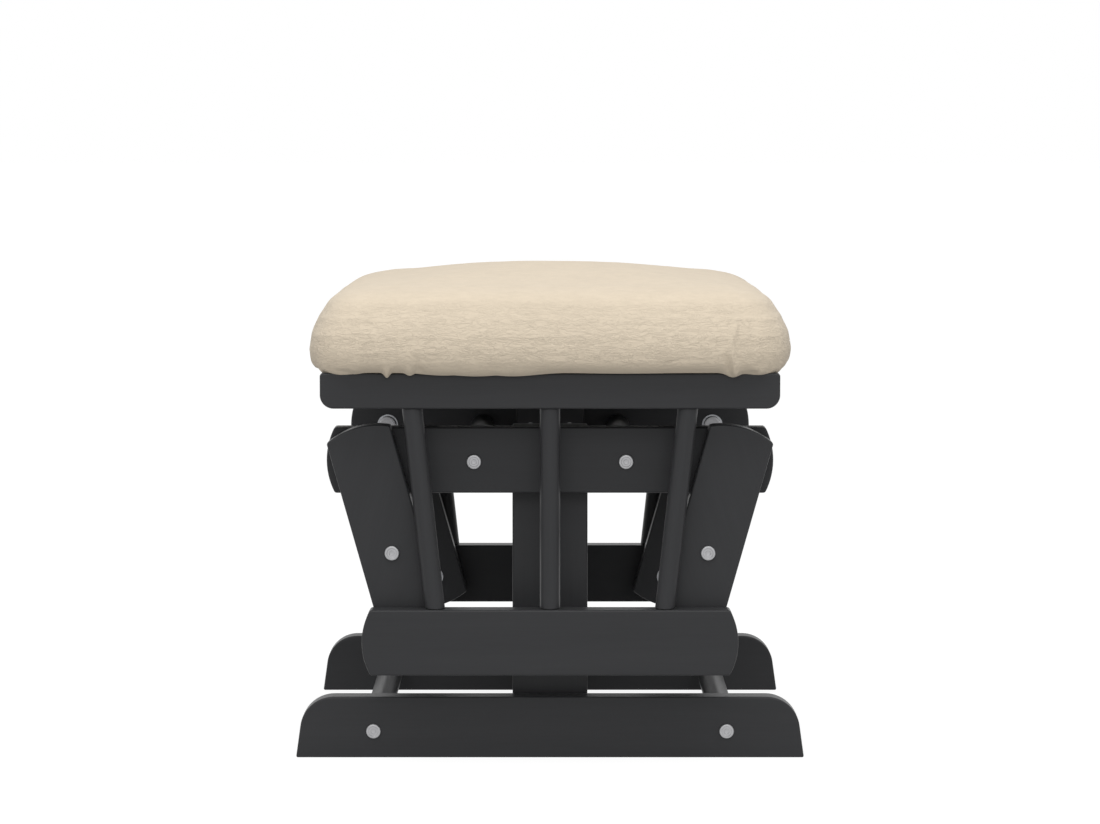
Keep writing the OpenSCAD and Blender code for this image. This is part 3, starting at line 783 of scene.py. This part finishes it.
def make_spindles(side):
    """Turned spindles with a tenon at each end and shoulders that stand level on the rails."""
    edge = bpy.context.scene.ottoman_sizes.turned_edge
    shape = bmesh.new()
    for start, end, tenon, shaft, foot_z, top_z in spindle_axes(side):
        axis = (end - start).normalized()
        around = [spoke for angle, spoke in spokes(axis)]

        def square_ring(centre, radius):
            return [centre + spoke * radius for spoke in around]

        def level_ring(height, radius):
            rim = [start + spoke * radius for spoke in around]
            return [point + axis * ((height - point.z) / axis.z) for point in rim]

        join_rings(shape, [
            square_ring(start, tenon - edge), square_ring(start + axis * edge, tenon),
            level_ring(foot_z, tenon), level_ring(foot_z, shaft - edge),
            level_ring(foot_z + edge, shaft), level_ring(top_z - edge, shaft),
            level_ring(top_z, shaft - edge), level_ring(top_z, tenon),
            square_ring(end - axis * edge, tenon), square_ring(end, tenon - edge)])
    piece = new_piece(f"{side}_spindles_turned", shape, "wood_z")
    even_normals(piece)
    dress(piece, f"{side}_spindles")


# Bolts and screws


def hexagon(across):
    """The radius of a hexagon by angle, for its width across the flats."""
    def reach(angle):
        return across / 2 / math.cos((angle % (math.pi / 3)) - math.pi / 6)
    return reach


# A bolt's corners that lie further out than this share of its head's radius are the head's
HEAD_SHARE = 0.9


def bolt_parts(corners):
    """A bolt's middle, head radius and, along Y, its head's foot and top and its far end."""
    out = np.hypot(corners[:, 0] - corners[:, 0].mean(), corners[:, 2] - corners[:, 2].mean())
    low, high = corners.min(0), corners.max(0)
    head = corners[out > out.max() * HEAD_SHARE][:, 1]
    if high[1] - head.mean() < head.mean() - low[1]:
        base, top, shank_end = head.min(), high[1], low[1]
    else:
        base, top, shank_end = head.max(), low[1], high[1]
    return (low + high) / 2, out.max(), base, top, shank_end


SHANK_RADIUS = 3 * MM
SHANK_POINT = 0.5 * MM
SOCKET_WIDTH = 4.0 * MM
SOCKET_DEPTH = 0.8 * MM
# The socket's mouth is wider by the flare, over the slope's depth, and ends in a drilled point
SOCKET_FLARE = 0.3 * MM
SOCKET_SLOPE = 0.15 * MM
SOCKET_POINT = 0.2 * MM
POINT_RADIUS = 0.4 * MM
HEAD_EDGE = 0.8 * MM
HEAD_FOOT = 0.2 * MM
# The head's middle is pressed in a little, inside a flat rim
DISH_SHARE = 0.64
DISH_DEPTH = 0.28 * MM
DISH_SLOPE = 0.3 * MM


def add_bolt(shape, corners):
    """A round-headed bolt with a softened rim and a hex socket."""
    centre, head_radius, base, top, shank_end = bolt_parts(corners)
    start = Vector((centre[0], shank_end, centre[2]))
    end = Vector((centre[0], top, centre[2]))
    reach = (end - start).length

    def share(y):
        return abs(y - shank_end) / reach

    out = 1 if top > base else -1
    rim = top - out * HEAD_EDGE
    stations = [
        (0, SHANK_RADIUS - SHANK_POINT), (SHANK_POINT / reach, SHANK_RADIUS),
        (share(base), SHANK_RADIUS), (share(base), head_radius - HEAD_FOOT),
        (share(base + out * HEAD_FOOT), head_radius), (share(rim), head_radius)]
    for step in (1, 2, 3, 4):
        angle = step * math.pi / 8
        stations.append((
            share(rim + out * HEAD_EDGE * math.sin(angle)),
            head_radius - HEAD_EDGE * (1 - math.cos(angle))))
    dish = top - out * DISH_DEPTH
    mouth = hexagon(SOCKET_WIDTH + SOCKET_FLARE)
    stations += [
        (1, head_radius * DISH_SHARE + DISH_SLOPE), (share(dish), head_radius * DISH_SHARE),
        (share(dish), mouth), (share(dish - out * SOCKET_SLOPE), hexagon(SOCKET_WIDTH)),
        (share(dish - out * SOCKET_DEPTH), hexagon(SOCKET_WIDTH)),
        (share(dish - out * (SOCKET_DEPTH + SOCKET_POINT)), POINT_RADIUS)]
    add_turned(shape, start, end, stations)


def make_bolts(node):
    """Detailed bolts in place of a node's plain ones."""
    shape = bmesh.new()
    for corners in solids_of(node):
        add_bolt(shape, corners)
    piece = new_piece(node + "_zinc", shape, "zinc")
    piece.data.set_sharp_from_angle(angle=math.radians(40))
    dress(piece, node)


# The cushion


def smooth_step(low, high, value):
    """0 at low and 1 at high, with a soft slope between them; low may be the larger."""
    share = np.clip((value - low) / (high - low), 0, 1)
    return share * share * (3 - 2 * share)


def points_of(mesh):
    return np.array([vert.co[:] for vert in mesh.vertices])


def outward_normals(mesh):
    normals = np.empty(len(mesh.vertices) * 3)
    mesh.vertices.foreach_get("normal", normals)
    return normals.reshape(-1, 3)


def move_to(mesh, points):
    mesh.vertices.foreach_set("co", points.ravel())
    mesh.update()


def bell(distance, width):
    """A soft hump, 1 at its middle."""
    return np.exp(-(distance / width) ** 2)


# Folds of the cover: side, place along it, width, height share, and how high each runs.
# The place is a share of the side's half length; the run is a share of the cushion's height.
FOLDS = [
    ("right", 0.745, 0.014, 1.00, 0.85), ("right", 0.712, 0.013, -0.80, 0.30),
    ("right", 0.833, 0.026, 0.35, 0.80), ("right", -0.540, 0.014, -0.70, 0.26),
    ("right", -0.800, 0.040, 0.30, 0.55), ("left", -0.730, 0.017, 0.90, 0.70),
    ("left", 0.620, 0.035, 0.40, 0.50), ("front", 0.790, 0.016, 0.75, 0.66),
    ("front", -0.700, 0.024, 0.60, 0.55), ("rear", 0.760, 0.017, 0.80, 0.64),
    ("rear", -0.820, 0.026, 0.50, 0.50),
]
# Loose places of the hem: side, place, width and drop, as shares
HEM_LOOPS = [
    ("right", -0.787, 0.020, 0.26), ("right", -0.661, 0.014, 1.24), ("right", -0.568, 0.020, 0.72),
    ("right", -0.43, 0.110, 0.68), ("right", -0.30, 0.150, 0.87), ("right", -0.15, 0.130, 0.85),
    ("right", 0.30, 0.200, 0.21), ("right", 0.742, 0.034, 1.08), ("right", 0.853, 0.018, 0.60),
    ("left", 0.70, 0.020, 0.90), ("left", 0.30, 0.140, 0.70), ("left", -0.45, 0.100, 0.60),
    ("left", -0.78, 0.030, 0.50), ("front", 0.72, 0.022, 0.80), ("front", 0.10, 0.160, 0.70),
    ("front", -0.62, 0.060, 0.60), ("rear", 0.60, 0.080, 0.65), ("rear", 0.05, 0.150, 0.70),
    ("rear", -0.42, 0.050, 0.50),
]
# The axis that each side looks along, and which way
SIDES = {"right": (1, -1), "left": (1, 1), "front": (0, 1), "rear": (0, -1)}
# How the cover behaves while it is filled
CLOTH = {
    "quality": 5, "mass": 0.25, "tension_stiffness": 12, "compression_stiffness": 12,
    "bending_stiffness": 1.5, "use_pressure": True, "uniform_pressure_force": 4,
    "vertex_group_mass": "held"}
CLOTH_FRAMES = 20


def swollen(piece, limit, pins_below):
    """The piece filled with air as cloth; no point moves further than the limit."""
    scene = bpy.context.scene
    start = points_of(piece.data)
    group = piece.vertex_groups.new(name=CLOTH["vertex_group_mass"])
    held = [i for i, co in enumerate(start) if co[2] < pins_below]
    group.add(held, 1.0, "REPLACE")
    cloth = piece.modifiers.new("Cloth", "CLOTH")
    for setting, value in CLOTH.items():
        setattr(cloth.settings, setting, value)
    cloth.settings.effector_weights.gravity = 0
    for number in range(1, CLOTH_FRAMES + 1):
        scene.frame_set(number)
    settle(piece)
    scene.frame_set(1)
    moved = points_of(piece.data) - start
    distance = np.linalg.norm(moved, axis=1, keepdims=True)
    moved *= np.minimum(1, limit / np.maximum(distance, 1e-9))
    move_to(piece.data, start + moved)
    piece.vertex_groups.clear()


def finer_squares(piece, low, high):
    """Cuts the squares finer along the hem, for its small tabs, and along the folds."""
    shape = bmesh.new()
    shape.from_mesh(piece.data)
    points = np.array([vert.co[:] for vert in shape.verts])
    share = (points - (high + low) / 2) / ((high - low) / 2)
    rise = (points[:, 2] - low[2]) / (high[2] - low[2])
    fine = (points[:, 2] < low[2] + HEM_BAND) & (plan_reach(points[:, :2], low[:2]) > HEM_START)
    for side, place, width, height, run in FOLDS:
        along, sign = SIDES[side]
        fine |= ((np.abs(share[:, 1 - along] - place) < FOLD_SPREAD * width) & (rise < run)
                 & (share[:, along] * sign > FOLD_START))
    shape.verts.index_update()
    edges = [edge for edge in shape.edges if all(fine[vert.index] for vert in edge.verts)]
    bmesh.ops.subdivide_edges(shape, edges=edges, cuts=2, use_grid_fill=True)
    bmesh.ops.triangulate(shape, faces=[face for face in shape.faces if len(face.verts) > 4])
    shape.to_mesh(piece.data)
    shape.free()


# How far the filling rounds the cushion out at each share of its height, in millimetres
ROUNDING = [
    (0.50, 0.0), (0.58, 0.5), (0.65, 1.8), (0.70, 2.5), (0.75, 2.0), (0.79, 0.8), (0.83, -0.6),
    (0.87, -1.4), (0.91, -1.2), (0.95, -0.5), (1.0, 0.0),
]
# The lining ends a little inside the hem
LINING_SHARE = 0.97
LINING_EDGE = 0.4 * MM
# The power of the rounded outline that the cushion has from above
PLAN_POWER = 10
# The small squares along the hem: up to this height, and from this reach outwards
HEM_BAND = 13 * MM
HEM_START = 0.91
# A fold's squares are fine to this many widths on each side of it, on the cushion's sides
FOLD_SPREAD = 3
FOLD_START = 0.6
# The flat underside ends this far above the foam's lowest points
UNDERSIDE_BAND = 1.0 * MM
SKIN_ZONE = (0.90, 0.94)
SKIN_RISE = 4 * MM
SKIN_ROUNDS = 14
SKIN_PASSES = 2
# Beyond the lining the cover's rim comes down to the deck
RIM_ZONE = (0.985, 1.0)
RIM_RISE = 6 * MM
# Where the hem is eased: fully below the second height over the underside, and beyond the
# second reach
HEM_RISE = (12 * MM, 6 * MM)
HEM_ZONE = (0.88, 0.92)
HEM_ROUNDS = 12
# Where the shoulder is eased, as shares of the cushion's height
SHOULDER_ZONE = (0.66, 0.78)
SHOULDER_ROUNDS = 30
# Folds show where the cover faces their side by this much
SIDE_FACING = (0.55, 0.85)
# How far a fold's line wanders, how fast, and how much later from one fold to the next
FOLD_WANDER = 0.012
FOLD_WAVES, FOLD_SHIFT = 9, 20
# The hem's outer edge, how high its loops and lift reach, and how high the tuck does
EDGE_ZONE = (0.925, 0.95)
LOOP_RISE = 0.11
TUCK_RISE = 0.12
TUCK_ZONE = (0.90, 0.95)
# The tuck ends between these shares of a side's half length
TUCK_ENDS = (0.88, 0.76)
# Scales of the soft unevenness, per metre, and the heights between which it comes in
ROUGH_BROAD, ROUGH_FINE = 22, 61
ROUGH_START = (0.02, 0.12)
# The foam core stands this far inside its solid
FOAM_SLACK = 2.5 * MM


def plan_reach(points, half):
    """How far out points lie, seen from above: 1 on the rounded outline with these half sizes."""
    spread = np.abs(points) / np.abs(half)
    return (spread ** PLAN_POWER).sum(-1) ** (1 / PLAN_POWER)


def evened(mesh, values, rounds):
    """The points' values, each brought closer to those round it, over and over."""
    ends = np.empty(len(mesh.edges) * 2, dtype=int)
    mesh.edges.foreach_get("vertices", ends)
    one, two = ends.reshape(-1, 2).T
    total = len(values)
    count = np.maximum(np.bincount(ends, minlength=total), 1)
    for repeat in range(rounds):
        near = (np.bincount(one, values[two], total) + np.bincount(two, values[one], total)) / count
        values = (values + near) / 2
    return values


def drawn_to_skin(mesh, floor_z):
    """Draws the filled cloth towards the outer skin of the cover's solid, but not its underside."""
    points = points_of(mesh)
    normals = outward_normals(mesh)
    keep = bpy.context.scene.ottoman_sizes.cushion_keep
    skin = welded(frame["nodes"]["cushion_cover"].data)
    skin.normal_update()
    low, high = (Vector(corner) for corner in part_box("cushion_cover"))
    middle = (low + high) / 2
    inward = [
        face for face in skin.faces if face.normal.dot(face.calc_center_median() - middle) < 0]
    bmesh.ops.delete(skin, geom=inward, context="FACES")
    tree = BVHTree.FromBMesh(skin)
    skin.free()
    reach = plan_reach(points[:, :2], np.array(low[:2]))
    free = np.maximum(
        smooth_step(*SKIN_ZONE, reach), smooth_step(floor_z, floor_z + SKIN_RISE, points[:, 2]))
    short = np.array([
        (tree.find_nearest(Vector(point))[0] - Vector(point)).dot(Vector(normal))
        for point, normal in zip(points, normals)])
    short = evened(mesh, short * free, SKIN_ROUNDS) * (1 - keep)
    return points + normals * short[:, None]


def eased(mesh, points, there, rounds):
    """The points evened out along the edges, by the share given for each."""
    even = np.stack([evened(mesh, points[:, axis], rounds) for axis in range(3)], axis=1)
    return points + (even - points) * there[:, None]


def sewn(points, normals, low, high):
    """Moves the cover's points for its folds, its loose hem and its soft unevenness."""
    sizes = bpy.context.scene.ottoman_sizes
    half = (high - low) / 2
    middle = (high + low) / 2
    share = (points - middle) / half
    rise = (points[:, 2] - low[2]) / (high[2] - low[2])
    out = np.zeros(len(points))
    drop = np.zeros(len(points))
    lift = np.zeros(len(points))
    tuck = np.zeros((len(points), 3))
    for side, place, width, height, run in FOLDS:
        along, sign = SIDES[side]
        across = 1 - along
        faces_side = smooth_step(*SIDE_FACING, normals[:, along] * sign)
        reach = smooth_step(run, 0.0, rise)
        line = place + FOLD_WANDER * np.sin(rise * FOLD_WAVES + place * FOLD_SHIFT)
        out += (sizes.fold_height * height * faces_side * reach
                * bell(share[:, across] - line, width))
    for side, place, width, depth in HEM_LOOPS:
        along, sign = SIDES[side]
        across = 1 - along
        edge = smooth_step(*EDGE_ZONE, share[:, along] * sign)
        low_band = smooth_step(LOOP_RISE, 0.0, rise)
        drop = np.maximum(drop, sizes.hem_drop * depth * edge * low_band
                          * bell(share[:, across] - place, width))
        lift = np.maximum(lift, sizes.hem_lift * edge * low_band)
    for along, sign in SIDES.values():
        flat = (smooth_step(*TUCK_ZONE, share[:, along] * sign)
                * smooth_step(*TUCK_ENDS, np.abs(share[:, 1 - along])))
        tuck[:, along] -= sign * sizes.hem_tuck * flat * np.clip(1 - rise / TUCK_RISE, 0, 1) ** 2
    rough = np.array([
        noise.noise(Vector(point) * ROUGH_BROAD) + 0.5 * noise.noise(Vector(point) * ROUGH_FINE)
        for point in points])
    out += sizes.crinkle * rough * smooth_step(*ROUGH_START, rise)
    moved = points + normals * out[:, None] + tuck
    moved[:, 2] += lift - drop
    return moved


def filled_cloth(floor_z):
    sizes = bpy.context.scene.ottoman_sizes
    piece = new_piece(
        "cushion_cover_linen", welded(frame["nodes"]["cushion_foam"].data), "linen")
    remesh = piece.modifiers.new("Remesh", "REMESH")
    remesh.mode = "VOXEL"
    remesh.voxel_size = sizes.cushion_voxel
    settle(piece)
    swollen(piece, sizes.cushion_swell, floor_z)
    finer = piece.modifiers.new("Finer", "SUBSURF")
    finer.levels = 1
    finer.render_levels = 1
    settle(piece)
    return piece


def make_cover():
    """The linen cover: filled, drawn to its own form, eased, then folded and hemmed."""
    low, high = (np.array(corner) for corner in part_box("cushion_cover"))
    foam_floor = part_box("cushion_foam")[0][2]
    panel_low = np.array(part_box("cushion_underside")[0])
    floor_z = foam_floor + UNDERSIDE_BAND
    piece = filled_cloth(floor_z)
    finer_squares(piece, low, high)
    for repeat in range(SKIN_PASSES):
        move_to(piece.data, drawn_to_skin(piece.data, floor_z))
    points = points_of(piece.data)
    normals = outward_normals(piece.data)
    rim = (smooth_step(*RIM_ZONE, plan_reach(points[:, :2], panel_low[:2]))
           * smooth_step(floor_z + RIM_RISE, floor_z, points[:, 2]))
    points[:, 2] -= rim * (foam_floor - low[2])
    hem = (smooth_step(*(floor_z + rise for rise in HEM_RISE), points[:, 2])
           * smooth_step(*HEM_ZONE, plan_reach(points[:, :2], low[:2])))
    points = eased(piece.data, points, hem, HEM_ROUNDS)
    shoulder = smooth_step(*SHOULDER_ZONE, (points[:, 2] - low[2]) / (high[2] - low[2]))
    points = eased(piece.data, points, shoulder, SHOULDER_ROUNDS)
    rise = (points[:, 2] - low[2]) / (high[2] - low[2])
    points += normals * np.interp(rise, *zip(*ROUNDING))[:, None] * MM
    move_to(piece.data, sewn(points, normals, low, high))
    for face in piece.data.polygons:
        face.use_smooth = True
    dress(piece, "cushion_cover")


def make_foam():
    """The foam core, a little smaller than the space inside the cover."""
    shape = welded(frame["nodes"]["cushion_foam"].data)
    shape.normal_update()
    outward = {vert: vert.normal.copy() for vert in shape.verts}
    for vert, normal in outward.items():
        vert.co -= normal * FOAM_SLACK
    piece = new_piece("cushion_foam_core", shape, "foam")
    dress(piece, "cushion_foam")


# Operators


class OTTOMAN_OT_boards(bpy.types.Operator):
    """Rounds and paints the skids, posts, rails and swing arms"""

    bl_idname = "ottoman.boards"
    bl_label = "Boards"

    def execute(self, context):
        for side in ("right", "left"):
            make_board(f"{side}_skid", "wood_x")
            make_board(f"{side}_post", "wood_z", cuts=pockets(
                f"{side}_post", ["post_screws"], ALONG_Y, depth=SCREW_POCKET))
            make_board(f"{side}_pivot_rail", "wood_x", cuts=pockets(
                f"{side}_pivot_rail", ["upper_bearing_outer_rings"], ALONG_Y))
            seats = pockets(f"{side}_glide_rail", ["lower_pivot_inserts"], ALONG_Y)
            make_board(
                f"{side}_glide_rail", "wood_x", cuts=seats + tenon_holes(side, upper=False))
            make_board(f"{side}_seat_rail", "wood_x", cuts=tenon_holes(side, upper=True))
            for end in ("front", "rear"):
                hardware = [f"{end}_upper_inserts", f"{end}_lower_outer_rings"]
                make_board(f"{end}_{side}_arm", f"wood_{end}_arm", cuts=pockets(
                    f"{end}_{side}_arm", hardware, ALONG_Y))
        return {"FINISHED"}


class OTTOMAN_OT_seat_deck(bpy.types.Operator):
    """Rounds and paints the slats and the cross rails under the cushion"""

    bl_idname = "ottoman.seat_deck"
    bl_label = "Seat Deck"

    def execute(self, context):
        edge = context.scene.ottoman_sizes.slat_edge
        for end in ("front", "rear"):
            make_board(f"{end}_cross_rail", "wood_y", axis=ALONG_Z, edge=edge)
        make_board("seat_slats", "wood_x", axis=ALONG_Z, edge=edge, cuts=pockets(
            "seat_slats", ["slat_screws"], ALONG_Z, depth=SCREW_POCKET))
        return {"FINISHED"}


class OTTOMAN_OT_turned(bpy.types.Operator):
    """Turns the cross dowels and the spindles"""

    bl_idname = "ottoman.turned"
    bl_label = "Dowels and Spindles"

    def execute(self, context):
        for end in ("front", "rear"):
            for kind in ("skid_dowel", "rail_dowel", "arm_dowel"):
                make_bars(f"{end}_{kind}", "wood_y")
        for side in ("right", "left"):
            make_spindles(side)
        return {"FINISHED"}


class OTTOMAN_OT_bolts(bpy.types.Operator):
    """Makes the round-headed bolts with their hex sockets"""

    bl_idname = "ottoman.bolts"
    bl_label = "Bolts"

    def execute(self, context):
        for node in (
                "base_dowel_bolts", "front_arm_bolts", "rear_arm_bolts", "front_upper_pivot_bolts",
                "rear_upper_pivot_bolts", "front_lower_pivot_bolts", "rear_lower_pivot_bolts"):
            make_bolts(node)
        return {"FINISHED"}


# The finish of each kind of small piece, by the last word of its node's name
HARDWARE = {
    "rings": "steel", "balls": "steel", "sleeves": "steel", "screws": "zinc",
    "inserts": "brass", "pins": "beech", "strips": "tape"}


class OTTOMAN_OT_bearings(bpy.types.Operator):
    """Finishes the bearings, sleeves, inserts, screws, pins and strips as they are"""

    bl_idname = "ottoman.bearings"
    bl_label = "Bearings and Fixings"

    def execute(self, context):
        for node in frame["nodes"]:
            kind = node.split("_")[-1]
            if kind in HARDWARE:
                finish_node(node, HARDWARE[kind])
        return {"FINISHED"}


class OTTOMAN_OT_cushion(bpy.types.Operator):
    """Sews the cushion: its linen cover, foam core and lining"""

    bl_idname = "ottoman.cushion"
    bl_label = "Cushion"

    def execute(self, context):
        make_cover()
        make_foam()
        lining = make_board("cushion_underside", "lining", axis=ALONG_Z, edge=LINING_EDGE)
        for vert in lining.data.vertices:
            vert.co.x *= LINING_SHARE
            vert.co.y *= LINING_SHARE
        return {"FINISHED"}


class OTTOMAN_OT_stage(bpy.types.Operator):
    """Sets the camera, the lamps, the white surroundings and the floor"""

    bl_idname = "ottoman.stage"
    bl_label = "Studio"

    def execute(self, context):
        studio = context.scene.ottoman_studio
        set_camera(studio)
        set_lamps(studio)
        set_world(studio)
        set_floor(studio)
        context.scene.view_settings.view_transform = "Standard"
        return {"FINISHED"}


# Studio

FILM_WIDTH = 36.0
FLOOR_REACH = 60.0
# Each lamp's place, the point that it shines at, and its size
KEY_LAMP = ((0, -0.9, 2.3), (0, -0.1, 0.2), (2.2, 1.4))
FILL_LAMP = ((0, -3.2, 1.9), (0, 0, 0.25), (2.4, 1.2))
# How much of the lit floor the white glow covers for the camera
FLOOR_VEIL = 0.72


def set_camera(studio):
    camera = bpy.data.cameras.new("camera")
    camera.sensor_fit = "HORIZONTAL"
    camera.sensor_width = FILM_WIDTH
    camera.lens = studio.lens
    eye = bpy.data.objects.new("camera", camera)
    eye.location = (0, -studio.distance, studio.height)
    eye.rotation_euler = Euler((math.pi / 2 - studio.tilt, 0, 0))
    bpy.context.scene.collection.objects.link(eye)
    bpy.context.scene.camera = eye


def add_lamp(name, place, target, size, power):
    """A rectangular lamp that shines at its target."""
    light = bpy.data.lights.new(name, "AREA")
    light.shape = "RECTANGLE"
    light.size, light.size_y = size
    light.energy = power
    lamp = bpy.data.objects.new(name, light)
    lamp.location = place
    lamp.rotation_euler = (Vector(target) - Vector(place)).to_track_quat("-Z", "Y").to_euler()
    bpy.context.scene.collection.objects.link(lamp)


def set_lamps(studio):
    add_lamp("key", *KEY_LAMP, studio.key_power)
    add_lamp("fill", *FILL_LAMP, studio.fill_power)


def seen_straight(finish):
    """1 for rays that show the background itself: to the camera, in gloss and through glass."""
    camera_ray = finish.node("ShaderNodeLightPath", output="Is Camera Ray")
    outputs = camera_ray.socket.node.outputs
    glossy = Wire(finish, outputs["Is Glossy Ray"])
    through = Wire(finish, outputs["Is Transmission Ray"])
    return camera_ray.join("MAXIMUM", camera_ray, camera_ray.join("MAXIMUM", glossy, through))


def set_world(studio):
    """Even light all round; the camera and reflections see plain white."""
    world = bpy.data.worlds.new("surroundings")
    world.use_nodes = True
    bpy.context.scene.world = world
    finish = Finish("surroundings", world.node_tree)
    even = studio.sky + seen_straight(finish) * (1.0 - studio.sky)
    back = world.node_tree.nodes["Background"]
    back.inputs["Color"].default_value = (1, 1, 1, 1)
    world.node_tree.links.new(even.socket, back.inputs["Strength"])


def set_floor(studio):
    """A pale floor that the camera sees as white, apart from the ottoman's soft shadow."""
    shape = bmesh.new()
    corners = [(-1, -1), (1, -1), (1, 1), (-1, 1)]
    shape.faces.new([shape.verts.new((x * FLOOR_REACH, y * FLOOR_REACH, 0)) for x, y in corners])
    mesh = bpy.data.meshes.new("floor")
    shape.to_mesh(mesh)
    shape.free()
    finish = Finish("floor")
    colour = shade(bpy.context.scene.ottoman_colours.floor, 1.0)
    finish.feed(Base_Color=colour, Roughness=0.9, Specular_IOR_Level=0.0)
    lit = Wire(finish, finish.tree.nodes["Principled BSDF"].outputs[0])
    glow = finish.node("ShaderNodeEmission", {}, {
        "Color": (1, 1, 1, 1), "Strength": studio.floor_glow})
    both = finish.node("ShaderNodeMixShader", {}, {
        0: seen_straight(finish) * FLOOR_VEIL, 1: lit, 2: glow})
    finish.tree.links.new(both.socket, finish.tree.nodes["Material Output"].inputs["Surface"])
    mesh.materials.append(finish.material)
    floor = bpy.data.objects.new("floor", mesh)
    bpy.context.scene.collection.objects.link(floor)
    floor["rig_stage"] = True


class OTTOMAN_PT_panel(bpy.types.Panel):
    """Lists the ottoman's operators and settings"""

    bl_idname = "OTTOMAN_PT_panel"
    bl_label = "Glider Ottoman"
    bl_space_type = "VIEW_3D"
    bl_region_type = "UI"
    bl_category = "Ottoman"

    def draw(self, context):
        for operator in OPERATORS:
            self.layout.operator(operator.bl_idname)
        for attribute in GROUPS:
            group = getattr(context.scene, attribute)
            box = self.layout.box()
            for name in group.__annotations__:
                box.prop(group, name)


OPERATORS = (
    OTTOMAN_OT_stage, OTTOMAN_OT_boards, OTTOMAN_OT_seat_deck, OTTOMAN_OT_turned, OTTOMAN_OT_bolts,
    OTTOMAN_OT_bearings, OTTOMAN_OT_cushion)
GROUPS = {
    "ottoman_sizes": OttomanSizes,
    "ottoman_colours": OttomanColours,
    "ottoman_studio": OttomanStudio,
}


def register():
    for group in GROUPS.values():
        bpy.utils.register_class(group)
    for operator in OPERATORS:
        bpy.utils.register_class(operator)
    bpy.utils.register_class(OTTOMAN_PT_panel)
    for name, group in GROUPS.items():
        setattr(bpy.types.Scene, name, PointerProperty(type=group))


def unregister():
    for name in GROUPS:
        delattr(bpy.types.Scene, name)
    bpy.utils.unregister_class(OTTOMAN_PT_panel)
    for operator in reversed(OPERATORS):
        bpy.utils.unregister_class(operator)
    for group in reversed(list(GROUPS.values())):
        bpy.utils.unregister_class(group)


def main():
    """Dresses every piece in order."""
    register()
    bpy.ops.ottoman.stage()
    bpy.ops.ottoman.boards()
    bpy.ops.ottoman.seat_deck()
    bpy.ops.ottoman.turned()
    bpy.ops.ottoman.bolts()
    bpy.ops.ottoman.bearings()
    bpy.ops.ottoman.cushion()
    boxes = {"cad": CAD_BOX, "visual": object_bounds()}
    {name: [list(corner) for corner in box] for name, box in boxes.items()}


if __name__ == "__main__":
    main()
